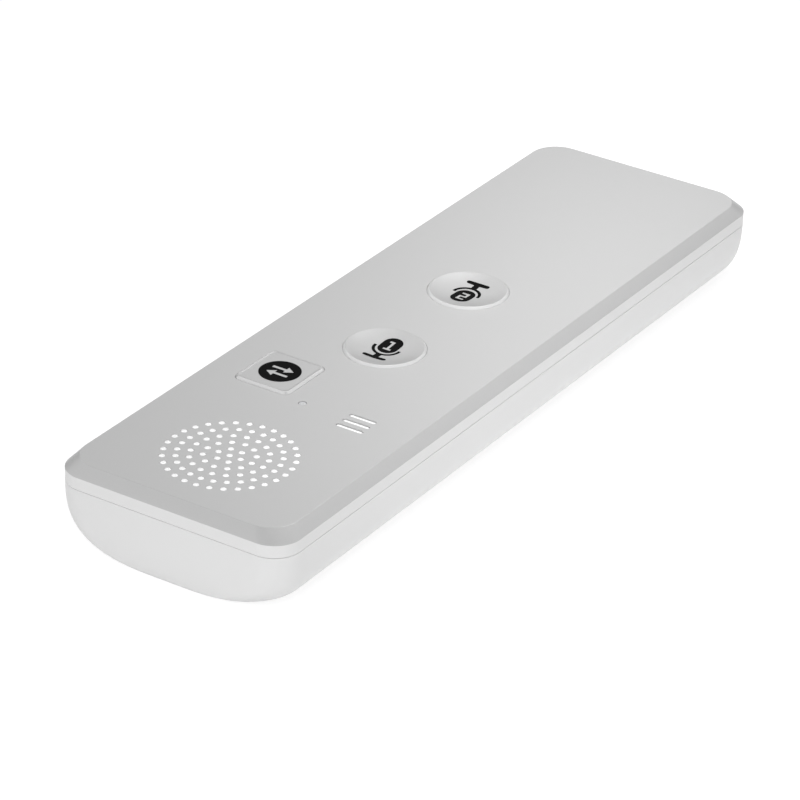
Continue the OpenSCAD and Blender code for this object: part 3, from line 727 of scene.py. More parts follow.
def cutter(half_x: float, half_y: float, radius: float, low: float, high: float,
           flare: float = 0.0) -> Mesh:
    """Makes a straight cutter whose upper end flares at 45 degrees, which breaks the edge that it leaves.

    Args:
        half_x: Half its width.
        half_y: Half its height.
        radius: Radius of its corners.
        low: Level of its lower end.
        high: Level of the face that it leaves through.
        flare: Width of the broken edge; with 0 the cutter ends straight, at that level.

    Returns:
        The closed mesh of the cutter.
    """
    beyond = 3
    runs = [(0.0, low), (0.0, high)]
    if flare:
        runs = [(0.0, low), (0.0, high - flare), (flare * (1 + beyond), high + flare * beyond)]
    return rounded_stack("cutter", [(half_x + out, half_y + out, radius + out, z) for out, z in runs])


def point_mesh(name: str, spots: Sequence[Sequence[float]]) -> Mesh:
    """Makes a mesh of single points, for a tree to set things out on.

    Args:
        name: Name of the mesh.
        spots: The points.

    Returns:
        The mesh.
    """
    mesh = bpy.data.meshes.new(name)
    mesh.from_pydata(spots, [], [])
    return mesh


def scratch(mesh: Mesh) -> Object:
    """Makes an object that only serves as a tool inside a tree; it isn't linked to the scene."""
    return bpy.data.objects.new(mesh.name, mesh)


@dataclass(frozen=True)
class Piece:
    """How one finished piece joins the frame: its name, its body, its slot and the nodes it stands for."""

    name: str
    body: str
    slot: Slot
    replaces: tuple[str, ...]

    def place(self, mesh: Mesh, materials: Sequence[Material] = ()) -> Object:
        """Scales a mesh to metres, smooths it and lets it ride on its body.

        Args:
            mesh: The mesh, in millimetres, in its place.
            materials: Materials for a mesh that has none yet.

        Returns:
            The piece's object.
        """
        mesh.transform(Matrix.Scale(MM, 4))
        mesh.name = self.name
        for material in materials:
            mesh.materials.append(material)
        mesh.shade_smooth()
        mesh.set_sharp_from_angle(angle=SMOOTH_ANGLE)
        piece = linked(self.name, mesh)
        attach(piece, self.body)
        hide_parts(*self.replaces)
        log.info("%s: %d faces, rides on %s, stands for %s", self.name, len(mesh.polygons), self.body,
                 ", ".join(self.replaces))
        return piece


# ---- signs ----


class Ink(Enum):
    """What a shape does to the sign drawn before it."""

    ADD = "add"
    CUT = "cut"


@dataclass(frozen=True)
class RoundBar:
    """A bar with round corners: a stadium, a disc or, with no radius, a plain rectangle."""

    centre: Point
    size: Point
    radius: float = 0.0

    corner_steps = 14

    def outline(self) -> list[Point]:
        """Follows its edge.

        Returns:
            The points, anticlockwise.
        """
        steps = self.corner_steps if self.radius else 1
        around = rounded_outline(self.size[0] / 2, self.size[1] / 2, self.radius, steps)
        return [(self.centre[0] + x, self.centre[1] + y) for x, y in around]

    def holds(self, x: float, y: float) -> bool:
        """Says whether a point lies inside it.

        Args:
            x: The point's place along X.
            y: Its place along Y.

        Returns:
            True inside it.
        """
        away_x = max(abs(x - self.centre[0]) - self.size[0] / 2 + self.radius, 0)
        away_y = max(abs(y - self.centre[1]) - self.size[1] / 2 + self.radius, 0)
        if self.radius:
            return math.hypot(away_x, away_y) < self.radius
        return away_x == 0 and away_y == 0


@dataclass(frozen=True)
class Arrowhead:
    """A triangle that points from the middle of its base along X, or with turned set against it."""

    base: Point
    length: float
    width: float
    turned: bool = False

    def outline(self) -> list[Point]:
        """Gives its corners.

        Returns:
            The three points, anticlockwise.
        """
        s = -1 if self.turned else 1
        x, y = self.base
        return [(x, y - s * self.width / 2), (x + s * self.length, y), (x, y + s * self.width / 2)]

    def holds(self, x: float, y: float) -> bool:
        """Says whether a point lies inside it."""
        share = (x - self.base[0]) / self.length * (-1 if self.turned else 1)
        return 0 < share < 1 and abs(y - self.base[1]) < self.width / 2 * (1 - share)


Shape = RoundBar | Arrowhead


@dataclass(frozen=True)
class Sign:
    """A flat sign drawn as shapes that add ink or take it away, one after the other."""

    strokes: tuple[tuple[Ink, Shape], ...]  # What each shape does, and the shape
    grid: float = 0.35  # Distance between the points inside its edges, which let it follow a curved surface

    def inked(self, x: float, y: float) -> bool:
        """Says whether a point of the sign is inked.

        Args:
            x: The point's place along X.
            y: Its place along Y.

        Returns:
            True on ink.
        """
        result = False
        for ink, shape in self.strokes:
            if shape.holds(x, y):
                result = ink is Ink.ADD
        return result

    def draped(self, name: str, surface: Callable[[float, float], float], thickness: float,
               proud: float) -> Mesh:
        """Lays the sign on a surface as a thin solid.

        Args:
            name: Name of the mesh.
            surface: Height of the surface at a point of the sign.
            thickness: Depth of the ink under the surface.
            proud: Height of the ink above it.

        Returns:
            The closed mesh, about the sign's own origin.
        """
        points: list[Point] = []
        edges: list[tuple[int, int]] = []
        for _, shape in self.strokes:
            around = shape.outline()
            first = len(points)
            points += around
            edges += [(first + i, first + (i + 1) % len(around)) for i in range(len(around))]
        reach_x = max(abs(x) for x, _ in points)
        reach_y = max(abs(y) for _, y in points)
        for i in range(-math.ceil(reach_x / self.grid), math.ceil(reach_x / self.grid) + 1):
            for j in range(-math.ceil(reach_y / self.grid), math.ceil(reach_y / self.grid) + 1):
                if self.inked(i * self.grid, j * self.grid):
                    points.append((i * self.grid, j * self.grid))
        flat, _, cells, *_ = delaunay_2d_cdt([Vector(p) for p in points], edges, [], 0, MERGE)
        kept = [c for c in cells if self.inked(*(sum((flat[i] for i in c), Vector((0, 0))) / len(c)))]
        return self.thickened(name, flat, kept, surface, thickness, proud)

    @staticmethod
    def thickened(name: str, flat: Sequence[Vector], cells: Sequence[Sequence[int]],
                  surface: Callable[[float, float], float], thickness: float,
                  proud: float) -> Mesh:
        """Gives flat cells a top, an underside and walls.

        Args:
            name: Name of the mesh.
            flat: Points of the cells.
            cells: The points of each cell, anticlockwise.
            surface: Height of the surface under a point.
            thickness: Depth under the surface.
            proud: Height above it.

        Returns:
            The closed mesh.
        """
        used = sorted({i for cell in cells for i in cell})
        shape = bmesh.new()
        top = {i: shape.verts.new((*flat[i], surface(*flat[i]) + proud)) for i in used}
        low = {i: shape.verts.new((*flat[i], surface(*flat[i]) - thickness)) for i in used}
        rim = {}
        for cell in cells:
            shape.faces.new([top[i] for i in cell])
            shape.faces.new([low[i] for i in reversed(cell)])
            for a, b in zip(cell, [*cell[1:], cell[0]]):
                rim[(a, b)] = None
        for a, b in rim:
            if (b, a) not in rim:
                shape.faces.new((top[b], top[a], low[a], low[b]))
        bmesh.ops.recalc_face_normals(shape, faces=shape.faces)
        mesh = bpy.data.meshes.new(name)
        shape.to_mesh(mesh)
        shape.free()
        return mesh


class Numeral(Enum):
    """The plain numeral inside a talk key's microphone sign."""

    ONE = 1
    TWO = 2

    def bars(self, centre: Point, bar: float = 0.45, width: float = 1.4,
             height: float = 2.6) -> tuple[tuple[Ink, Shape], ...]:
        """Draws the numeral with straight bars.

        Args:
            centre: Its middle.
            bar: Thickness of its bars.
            width: Its width.
            height: Its height.

        Returns:
            Its strokes, which leave the ink out.
        """
        if self is Numeral.ONE:
            bars = [((0, 0), (bar, height)), ((0, (bar - height) / 2), (width, bar)),
                    ((-width / 4, (height - bar) / 2), (width / 2, bar))]
        else:
            bars = [((0, s * (height - bar) / 2), (width, bar)) for s in (-1, 0, 1)]
            bars += [((s * (width - bar) / 2, s * (height - bar) / 4), (bar, height / 2)) for s in (-1, 1)]
        return tuple((Ink.CUT, RoundBar((centre[0] + x, centre[1] + y), size)) for (x, y), size in bars)


def microphone_sign(numeral: Numeral) -> Sign:
    """Draws a studio microphone: a capsule with a numeral left out of it, its cradle, stem and foot.

    Args:
        numeral: The numeral in the capsule.

    Returns:
        The sign, with its foot towards -Y.
    """
    capsule, capsule_y = Vector((3.3, 4.7)), 1.6
    cradle, cradle_y, line = Vector((4.9, 6.2)), 1.35, 0.5
    foot, foot_y, stem = (4.2, 0.8), -3.05, 1.0
    inner = cradle - Vector((2 * line, line))
    cradle_end = capsule_y - capsule.y / 6
    stem_end = cradle_y - cradle.y / 2 + line / 2
    return Sign((
        (Ink.ADD, RoundBar((0, cradle_y), tuple(cradle), cradle.x / 2)),
        (Ink.CUT, RoundBar((0, cradle_y + line / 2), tuple(inner), inner.x / 2)),
        (Ink.CUT, RoundBar((0, cradle_end + cradle.x), (2 * cradle.x, 2 * cradle.x))),
        (Ink.ADD, RoundBar((0, capsule_y), tuple(capsule), capsule.x / 2)),
        *numeral.bars((0, capsule_y)),
        (Ink.ADD, RoundBar((0, (foot_y + stem_end) / 2), (stem, stem_end - foot_y))),
        (Ink.ADD, RoundBar((0, foot_y), foot, foot[1] / 2)),
    ))


def exchange_sign() -> Sign:
    """Draws a disc with two arrows that point opposite ways.

    Returns:
        The sign.
    """
    disc, aside, grid = 6.7, 0.85, 1.0
    shaft, shaft_back, head_length, head_width, head_ahead = (2.6, 0.6), 0.6, 1.5, 1.9, 0.5
    strokes: list[tuple[Ink, Shape]] = [(Ink.ADD, RoundBar((0, 0), (disc, disc), disc / 2))]
    for s in (1, -1):
        head = Arrowhead((head_ahead * s, aside * s), head_length, head_width, turned=s < 0)
        strokes += [(Ink.CUT, RoundBar((-shaft_back * s, aside * s), shaft)), (Ink.CUT, head)]
    return Sign(tuple(strokes), grid)


# ---- the layout that several pieces share ----


@dataclass(frozen=True)
class Layout:
    """Levels and places that several pieces share, in boxes of CAD nodes and in sizes."""

    panel: Extent = field(default_factory=lambda: Extent.of("front_panel"))
    cover: Extent = field(default_factory=lambda: Extent.of("rear_cover"))
    grille: Extent = field(default_factory=lambda: Extent.of("speaker_mesh"))
    slits: Extent = field(default_factory=lambda: Extent.of("microphone_mesh"))
    light: Extent = field(default_factory=lambda: Extent.of("indicator_light_pipe"))
    # Holes in each ring of the speaker grille, from its middle
    ring_counts: tuple[int, ...] = (1, 6, 12, 18, 25, 30)
    hole_pitch: float = 2.0  # Distance between two rings
    hole_r: float = 0.52
    slit_count: int = 3
    slit_size: Point = (4.8, 0.85)  # Length and width of a microphone slit
    slit_pitch: float = 1.8
    key_gap: float = 0.05  # Gap between a front key and the panel

    @property
    def top(self) -> float:
        """Level of the panel's flat face."""
        return self.panel.high.z

    def rings(self, growth: GrowthTree) -> Node:
        """Adds the points of the speaker's rings of holes to a tree.

        Args:
            growth: The tree.

        Returns:
            The node with the points, which lie round the origin.
        """
        pitch = growth.size("Ring pitch", self.hole_pitch)
        index = growth.add("GeometryNodeInputIndex")
        rings = []
        for ring, count in enumerate(self.ring_counts):
            x, y = (formula(growth.tree, f"pitch * ring * {axis}(index * step)", pitch=pitch,
                            ring=float(ring), index=index, step=2 * math.pi / count)
                    for axis in ("cos", "sin"))
            place = growth.add("ShaderNodeCombineXYZ", {"X": x, "Y": y})
            rings.append(growth.add("GeometryNodePoints", {"Count": count, "Position": place}))
        return growth.add("GeometryNodeJoinGeometry", {"Geometry": rings})

    def row(self, growth: GrowthTree, count: int, pitch: float) -> Node:
        """Adds a centred row of points along Y to a tree.

        Args:
            growth: The tree.
            count: How many points.
            pitch: Distance between them.

        Returns:
            The node with the points.
        """
        number = growth.size("Row count", count)
        step = growth.size("Row pitch", pitch)
        index = growth.add("GeometryNodeInputIndex")
        along = formula(growth.tree, "(index - (number - 1) / 2) * step", index=index, number=number,
                        step=step)
        place = growth.add("ShaderNodeCombineXYZ", {"Y": along})
        return growth.add("GeometryNodePoints", {"Count": number, "Position": place})


class Assembly:
    """A sub-assembly of the translator, which builds and dresses its own pieces."""

    def build(self, layout: Layout, shelf: Shelf) -> None:
        """Makes every piece of the sub-assembly, at the layout's places and in the shelf's materials."""
        raise NotImplementedError


# ---- front panel ----


@dataclass
class FrontPanel(Assembly):
    """Silver panel: a chamfered plate with its key openings, speaker holes, slits and light hole."""

    corner_r: float = 4.6  # Corner radius at the foot of the chamfer
    face_corner_r: float = 4.9  # Corner radius of the flat face
    chamfer: float = 1.5  # Width of the chamfer
    edge_r: float = 0.12  # Radius that joins the chamfer to the flat face
    edge_break: float = 0.03  # Width of the broken edge of an opening
    hole_break: float = 0.03  # Width of the broken edge of a speaker hole
    sheet: float = 0.4  # Thickness of the panel over its pockets
    grille_pocket_r: float = 11.7  # Radius of the pocket behind the speaker holes
    slit_pocket: Point = (7.4, 6.6)  # Size of the pocket behind the slits
    pocket_corner_r: float = 0.3  # Radius of that pocket's corners
    corner_steps: int = 16
    # Width of the flat strip inside the rim, which keeps the rim's shading off the face
    support: float = 0.05
    wall_lean: float = 0.4  # How far a face may look up, from 0 to 1, and still be the wall of a hole

    def slab(self, layout: Layout) -> Mesh:
        """Makes the plate without its openings.

        Args:
            layout: Shared levels and places.

        Returns:
            The plate.
        """
        half, low, high = layout.panel.size / 2, layout.panel.low.z, layout.panel.high.z
        profile = soften([(0, low), (self.chamfer, high), (half.x, high)], {1: self.edge_r}, steps=5)
        profile[-1] = (profile[-2][0] + self.support, high)
        rows = []
        for inset, z in profile:
            share = (z - low) / (high - low)
            radius = self.corner_r + (self.face_corner_r - self.corner_r) * share
            rows.append((half.x - inset, half.y - inset, radius - max(inset - self.chamfer, 0), z))
        return rounded_stack("front_panel_slab", rows, self.corner_steps)

    def openings(self, layout: Layout) -> Mesh:
        """Makes the cutters of the openings for the three keys and the light, as one mesh.

        Args:
            layout: Shared levels and places.

        Returns:
            The cutters.
        """
        low, top, gap = layout.panel.low.z - PAST, layout.top, layout.key_gap
        openings = []
        for key in (Extent.of("talk_key_near"), Extent.of("talk_key_far")):
            radius = key.size.x / 2 - FrontKey.flange + gap
            openings.append((key, radius, radius, radius, self.edge_break))
        key = Extent.of(ModeKey.node)
        half, light_r = ModeKey.half(key), LightPipe.radius + gap / 2
        openings += [(key, half.x + gap, half.y + gap, ModeKey.corner_r + gap, self.edge_break),
                     (layout.light, light_r, light_r, light_r, self.edge_break / 2)]
        return joined("panel_openings", [
            moved(cutter(half_x, half_y, radius, low, top, edge), flat_place(box.centre))
            for box, half_x, half_y, radius, edge in openings])

    def pockets(self, layout: Layout) -> Mesh:
        """Makes the cutters of the pockets behind the speaker holes and the slits, as one mesh.

        Args:
            layout: Shared levels and places.

        Returns:
            The cutters.
        """
        low, floor = layout.panel.low.z - PAST, layout.top - self.sheet
        radius = self.grille_pocket_r
        behind_grille = cutter(radius, radius, radius, low, floor)
        width, length = self.slit_pocket
        behind_slits = cutter(width / 2, length / 2, self.pocket_corner_r, low, floor)
        return joined("panel_pockets", [moved(behind_grille, flat_place(layout.grille.centre)),
                                        moved(behind_slits, flat_place(layout.slits.centre))])

    def build(self, layout: Layout, shelf: Shelf) -> None:
        """Cuts the speaker holes and the slits with a tree, and places the panel.

        Args:
            layout: Shared levels and places.
            shelf: Its materials.
        """
        growth = GrowthTree("Perforated front panel")
        low, top = layout.panel.low.z - PAST, layout.top
        hole = scratch(cutter(layout.hole_r, layout.hole_r, layout.hole_r, low, top, self.hole_break))
        half = Vector(layout.slit_size) / 2
        slit = scratch(cutter(half.x, half.y, half.y, low, top, self.edge_break))
        holes = growth.add("GeometryNodeTransform", {
            "Geometry": layout.rings(growth),
            "Translation": growth.size("Grille centre", flat_place(layout.grille.centre))})
        slits = growth.add("GeometryNodeTransform", {
            "Geometry": layout.row(growth, layout.slit_count, layout.slit_pitch),
            "Translation": growth.size("Slits centre", flat_place(layout.slits.centre))})
        tools = [growth.shape("Openings", scratch(self.openings(layout))),
                 growth.shape("Pockets", scratch(self.pockets(layout)))]
        for points, name, tool in ((holes, "Hole cutter", hole), (slits, "Slit cutter", slit)):
            tools.append(growth.add("GeometryNodeInstanceOnPoints", {
                "Points": points, "Instance": growth.shape(name, tool)}))
        plate = growth.cut(growth.geometry, tools)
        facing = growth.add("ShaderNodeSeparateXYZ", {"Vector": growth.add("GeometryNodeInputNormal")})
        spot = growth.add("ShaderNodeSeparateXYZ", {"Vector": growth.add("GeometryNodeInputPosition")})
        regions = []
        # The speaker holes' walls are bare white plastic; the slits' walls get a grey that is painted shade,
        # for the shadow inside a slit
        for centre, reach, finish in ((layout.grille.centre, self.grille_pocket_r, Slot.WHITE_SHELL),
                                      (layout.slits.centre, self.slit_pocket[0] / 2, SLIT_WALL_PAINTED_SHADE)):
            walls = formula(growth.tree, "less(up, lean) * less((x - a) ** 2 + (y - b) ** 2, reach ** 2)",
                            up=facing.outputs["Z"], lean=self.wall_lean, x=spot.outputs["X"],
                            y=spot.outputs["Y"], a=centre.x, b=centre.y, reach=reach)
            regions.append((shelf.get(finish), walls))
        mesh = growth.grow(plate, shelf.get(Slot.SILVER_PAINT), self.slab(layout), regions)
        Piece("silver_front_panel", "housing", Slot.SILVER_PAINT, ("front_panel",)).place(mesh)


# ---- speaker cloth and slit cloth ----


@dataclass
class AcousticCloth(Assembly):
    """White cloth behind the speaker holes and the slits, which is pressed up into each opening."""

    pad_r: float = 0.505  # Radius of the cloth's pad in a speaker hole
    pad_edge: float = 0.12  # Radius of the pad's upper edge
    below: float = 0.03  # How far the top of a pad stays under the panel's face
    slit_play: float = 0.07  # Gap between a slit and the bar of cloth in it, on each side
    slit_below: float = 0.18  # How far the bar in a slit stays under the panel's face
    bar_edge: float = 0.12  # Radius of the bar's upper edge
    bar_foot: float = 0.05  # How far up in the sheet the bar starts
    disc_edge: float = 0.05  # Radius of the round sheet's upper edge
    sheet_corner_r: float = 0.3  # Corner radius of the small sheet

    def padded(self, growth: GrowthTree, shelf: Shelf, sheet: Mesh, points: Any, pad: Mesh) -> Mesh:
        """Grows a sheet of cloth with a pad at each point.

        Args:
            growth: The tree.
            shelf: The translator's materials.
            sheet: The sheet, round the origin.
            points: The points, as a node of the tree.
            pad: The pad.

        Returns:
            The sheet with its pads.
        """
        pads = growth.add("GeometryNodeInstanceOnPoints", {
            "Points": points, "Instance": growth.shape("Cloth pad", scratch(pad))})
        cloth = growth.cut(growth.geometry, [pads], "UNION")
        return growth.grow(cloth, shelf.get(Slot.MESH_WHITE), sheet)

    def speaker_cloth(self, layout: Layout, shelf: Shelf) -> Mesh:
        """Grows the disc with a pad in each speaker hole.

        Args:
            layout: Shared levels and places.
            shelf: Its materials.

        Returns:
            The cloth.
        """
        growth = GrowthTree("Speaker cloth")
        disc = layout.grille
        radius, low, high = disc.size.x / 2, disc.low.z, disc.high.z
        plate = lathe_mesh("cloth_disc", soften(
            [(0, low), (radius, low), (radius, high), (0, high)], {2: self.disc_edge}, steps=2), steps=96)
        top = layout.top - self.below
        pad = lathe_mesh("cloth_pad", soften([
            (0, (low + high) / 2), (self.pad_r, (low + high) / 2), (self.pad_r, top), (0, top)],
            {2: self.pad_edge}, steps=3), steps=16)
        mesh = self.padded(growth, shelf, plate, layout.rings(growth), pad)
        return moved(mesh, flat_place(disc.centre))

    def slit_cloth(self, layout: Layout, shelf: Shelf) -> Mesh:
        """Grows the small sheet with a bar in each slit.

        Args:
            layout: Shared levels and places.
            shelf: Its materials.

        Returns:
            The cloth.
        """
        growth = GrowthTree("Slit cloth")
        sheet = layout.slits
        half = sheet.size / 2
        plate = cutter(half.x, half.y, self.sheet_corner_r, sheet.low.z, sheet.high.z)
        play = self.slit_play
        half_bar = Vector(layout.slit_size) / 2 - Vector((play, play))
        top = layout.top - self.slit_below
        runs = soften([(0, sheet.low.z + self.bar_foot), (0, top), (half_bar.y / 2, top)],
                      {1: self.bar_edge}, steps=3)
        bar = rounded_stack("cloth_bar", [
            (half_bar.x - inset, half_bar.y - inset, half_bar.y, z) for inset, z in runs], steps=6)
        row = layout.row(growth, layout.slit_count, layout.slit_pitch)
        return moved(self.padded(growth, shelf, plate, row, bar), flat_place(sheet.centre))

    def build(self, layout: Layout, shelf: Shelf) -> None:
        """Places both cloths."""
        Piece("acoustic_cloth_speaker", "housing", Slot.MESH_WHITE, ("speaker_mesh",)).place(
            self.speaker_cloth(layout, shelf))
        Piece("acoustic_cloth_slits", "housing", Slot.MESH_WHITE, ("microphone_mesh",)).place(
            self.slit_cloth(layout, shelf))


@dataclass
class LightPipe(Assembly):
    """Indicator's frosted light pipe, with a slightly domed end and its collar."""

    radius: float = 0.65
    collar_r: float = 1.15  # Radius of its collar
    collar: float = 0.6  # Height of the collar
    under_web: float = 0.05  # Gap between the collar and the frame's web over it
    web: float = 1.1  # Distance from the panel's underside to the underside of that web
    dome: float = 0.12  # Height of the domed end
    shoulder: float = 0.04  # How far the dome's shoulder lies under its top
    shoulder_share: float = 0.7  # Radius of the shoulder, as a share of the pipe's
    dome_radii: Point = (0.1, 0.6)  # Radii that round the foot of the dome and its shoulder

    def build(self, layout: Layout, shelf: Shelf) -> None:
        """Turns and places the pipe.

        Args:
            layout: Shared levels and places.
            shelf: Its materials.
        """
        pipe = layout.light
        web_z = layout.panel.low.z - self.web
        collar_top = web_z - self.under_web
        low, top = pipe.low.z, pipe.high.z
        profile = [(0, low), (self.radius, low), (self.radius, collar_top - self.collar),
                   (self.collar_r, collar_top - self.collar), (self.collar_r, collar_top),
                   (self.radius, collar_top), (self.radius, top - self.dome),
                   (self.radius * self.shoulder_share, top - self.shoulder), (0, top)]
        rounded = soften(profile, {6: self.dome_radii[0], 7: self.dome_radii[1]})
        mesh = moved(lathe_mesh("light_pipe", rounded, steps=48), flat_place(pipe.centre))
        Piece("frosted_light_pipe", "housing", Slot.LIGHT_PIPE, ("indicator_light_pipe",)).place(
            mesh, [shelf.get(Slot.LIGHT_PIPE)])


# ---- keys of the front panel ----


@dataclass(kw_only=True)
class FrontKey(Assembly):
    """What the keys of the panel share: a bevelled rim whose pale grey is a painted highlight, a silver
    middle, a flange and a sign.
    """

    slope: float = 0.35  # Width and height of the pale bevel
    rim: float = 0.45  # Distance from the key's side to where its middle starts to sink
    stem_r: float = 1.7  # Radius of the stem under the key
    flange_gap: float = 0.12  # Gap between the flange that holds the key and the panel
    flange_height: float = 0.7
    flange_edge: float = 0.08  # Radius of the flange's upper edge, and of the bevel's lower one
    rim_edge: float = 0.05  # Radius of the rim's upper edges
    paint_margin: float = 0.02  # How far the paint stays inside the bevel
    ink_depth: float = 0.08  # Depth of the sign's ink under the surface

    # How far the flange reaches past the key
    flange = 0.85

    def flange_levels(self, layout: Layout) -> Point:
        """Levels of the flange's underside and of its top."""
        top = layout.panel.low.z - self.flange_gap
        return top - self.flange_height, top

    def place(self, layout: Layout, shelf: Shelf, node: str, names: tuple[str, str],
              mesh: Mesh, inked: Mesh, inside: Callable[[Vector], bool]) -> None:
        """Paints the key's middle, and places the key and its sign.

        Args:
            layout: Shared levels and places.
            shelf: Its materials.
            node: CAD node of the key, which is also its body's name.
            names: Names of the key's piece and of the sign's.
            mesh: The key, round the origin.
            inked: The sign, round the origin.
            inside: Says whether a place on the key lies inside the edge of the paint.
        """
        # Faces outside the paint keep the pale grey body, which on the bevels is a painted highlight
        for face in mesh.polygons:
            painted = inside(face.center) and face.center.z > layout.top - PAST
            face.material_index = 1 if painted else 0
        centre = flat_place(Extent.of(node).centre)
        Piece(names[0], node, Slot.KEY_SILVER, (node,)).place(
            moved(mesh, centre), [shelf.get(KEY_BODY_PAINTED_HIGHLIGHT), shelf.get(Slot.KEY_SILVER)])
        Piece(names[1], node, Slot.LEGEND_BLACK, (f"{node}_legend",)).place(
            moved(inked, centre), [shelf.get(Slot.LEGEND_BLACK)])


@dataclass
class TalkKey(FrontKey):
    """Round key with a finger dish and a microphone sign in it."""

    node: str  # CAD node of the key, which is also its body's name
    numeral: Numeral
    turned: bool  # Whether its sign faces the far end
    dish: float = 0.75
    dish_start: float = 0.4  # How far the curve that joins the rim to the dish reaches in
    stem_edge: float = 0.1  # Radius of the stem's foot
    dish_steps: int = 16  # Rings between that curve and the middle of the dish
    ink_proud: float = 0.02  # Height of the sign's ink above the dish

    def dish_level(self, key: Extent, distance: float) -> float:
        """Gives the height of the dish at a distance from the key's middle.

        Args:
            key: Box of the key.
            distance: The distance.

        Returns:
            The height.
        """
        dish_r = key.size.x / 2 - self.flange - self.rim
        sphere_r = (dish_r ** 2 + self.dish ** 2) / (2 * self.dish)
        return key.high.z - self.dish + sphere_r - math.sqrt(sphere_r ** 2 - distance ** 2)

    def profile(self, layout: Layout, key: Extent) -> list[Point]:
        """Gives the key's outline, from its stem to the middle of its dish.

        Args:
            layout: Shared levels and places.
            key: Box of the key.

        Returns:
            Radius and height of each point.
        """
        flange_r, top = key.size.x / 2, key.high.z
        radius = flange_r - self.flange
        flange_low, flange_top = self.flange_levels(layout)
        dish_r = radius - self.rim
        inner_r = dish_r - self.dish_start
        corners = [(0, key.low.z), (self.stem_r, key.low.z), (self.stem_r, flange_low),
                   (flange_r, flange_low), (flange_r, flange_top), (radius, flange_top),
                   (radius, top - self.slope), (radius - self.slope, top), (dish_r, top),
                   (inner_r, self.dish_level(key, inner_r))]
        radii = {1: self.stem_edge, 4: self.flange_edge, 6: self.flange_edge, 7: self.rim_edge,
                 8: self.rim_edge}
        inner = [inner_r * (1 - i / self.dish_steps) for i in range(1, self.dish_steps + 1)]
        return soften(corners, radii, steps=3) + [(r, self.dish_level(key, r)) for r in inner]

    def build(self, layout: Layout, shelf: Shelf) -> None:
        """Turns the key and lays the sign in its dish.

        Args:
            layout: Shared levels and places.
            shelf: Its materials.
        """
        key = Extent.of(self.node)
        mesh = lathe_mesh(self.node, self.profile(layout, key), steps=160)
        sign = microphone_sign(self.numeral).draped(
            f"{self.node}_sign", lambda x, y: self.dish_level(key, math.hypot(x, y)),
            self.ink_depth, self.ink_proud)
        moved(sign, Matrix.Rotation(math.pi if self.turned else 0.0, 4, "Z"))
        painted_r = key.size.x / 2 - self.flange - self.slope - self.paint_margin
        self.place(layout, shelf, self.node, (f"dished_{self.node}", f"{self.node}_microphone_sign"),
                   mesh, sign, lambda spot: spot.xy.length < painted_r)


@dataclass
class ModeKey(FrontKey):
    """Nearly square key with a sunk face and a disc sign on it."""

    face_rim: float = 0.7  # Distance from the key's side to its sunk face
    face_depth: float = 0.1  # Depth of that face
    face_edge: float = 0.1  # Radius of the corner round the face
    support: float = 0.5  # Width of the flat strip inside that corner, which keeps its shading off the face
    ink_proud: float = 0.03  # Height of the sign's ink above the face

    corner_r = 1.3
    node = "mode_key"

    @classmethod
    def half(cls, key: Extent) -> Vector:
        """Half the key's width and length, without its flange."""
        return (key.size / 2).xy - Vector((cls.flange, cls.flange))

    def build(self, layout: Layout, shelf: Shelf) -> None:
        """Stacks the key from rounded rectangles and lays the sign on its face.

        Args:
            layout: Shared levels and places.
            shelf: Its materials.
        """
        key = Extent.of(self.node)
        top, half = key.high.z, self.half(key)
        flange_low, flange_top = self.flange_levels(layout)
        face = top - self.face_depth
        profile = [(-self.flange, flange_low), (-self.flange, flange_top), (0, flange_top),
                   (0, top - self.slope), (self.slope, top), (self.rim, top), (self.face_rim, face),
                   (self.face_rim + self.support, face)]
        radii = {1: self.flange_edge, 3: self.flange_edge, 4: self.rim_edge, 5: self.rim_edge,
                 6: self.face_edge}
        rows = [(self.stem_r, self.stem_r, self.stem_r, z) for z in (key.low.z, flange_low)]
        rows += [(half.x - inset, half.y - inset, self.corner_r - min(inset, self.slope), z)
                 for inset, z in soften(profile, radii, steps=3)]
        sign = exchange_sign().draped("mode_key_sign", lambda x, y: face, self.ink_depth, self.ink_proud)
        edge = self.slope + self.paint_margin
        self.place(layout, shelf, self.node, ("sunk_mode_key", "mode_key_exchange_sign"),
                   rounded_stack(self.node, rows), sign,
                   lambda spot: abs(spot.x) < half.x - edge and abs(spot.y) < half.y - edge)


# ---- rear cover ----

# The law of the cover's shells, step by step: each result is a term of the steps after it. A ring of
# points runs round the four corners, and the rings go down from the seam to the underside.
SHELL_LAW = (
    ("number", "round(count * atan2(y, x) / full_turn + count) % count"),
    ("quarter", "floor((number + 0.5) / (steps + 1))"),
    ("angle", "(quarter + (number - quarter * (steps + 1)) / steps) * quarter_turn"),
    ("side_x", "sign(cos((quarter + 0.5) * quarter_turn))"),
    ("side_y", "sign(sin((quarter + 0.5) * quarter_turn))"),
    ("ring", "round((0.5 - z) * levels)"),
    ("arc", "least(ring / first, 1) * quarter_turn"),
    ("share", "1 - (1 - most(ring - first, 0) / (levels - first)) ** level_power"),
    ("rounding", "edge * (1 - sin(arc))"),
    ("draw_x", "side_reach * (1 - most(1 - share ** side_power, 0) ** (1 / side_power)) + rounding"),
    ("draw_y", "end_reach * (1 - most(1 - share ** end_power, 0) ** (1 / end_power)) + rounding"),
    ("half_x", "half_w - draw_x"),
    ("half_y", "half_l - draw_y"),
    ("radius", "least(corner_r + widen * share * share, half_x - least_flat)"),
    ("to_X", "side_x * (half_x - radius) + radius * cos(angle)"),
    ("to_Y", "side_y * (half_y - radius) + radius * sin(angle)"),
    ("to_Z", "seam - most(edge * (1 - cos(arc)), depth * share) + lift * most(1 - ring, 0)"),
)


@dataclass(frozen=True)
class Loft:
    """The superelliptic law that a shell of the rear cover follows."""

    half_w: float  # Half width at the seam
    half_l: float  # Half length at the seam
    corner_r: float  # Corner radius at the seam
    depth: float  # Depth under the seam
    side_reach: float  # How far the long sides draw in
    lift: float  # How far the first ring stands above the seam
    edge: float  # Radius of its upper edge


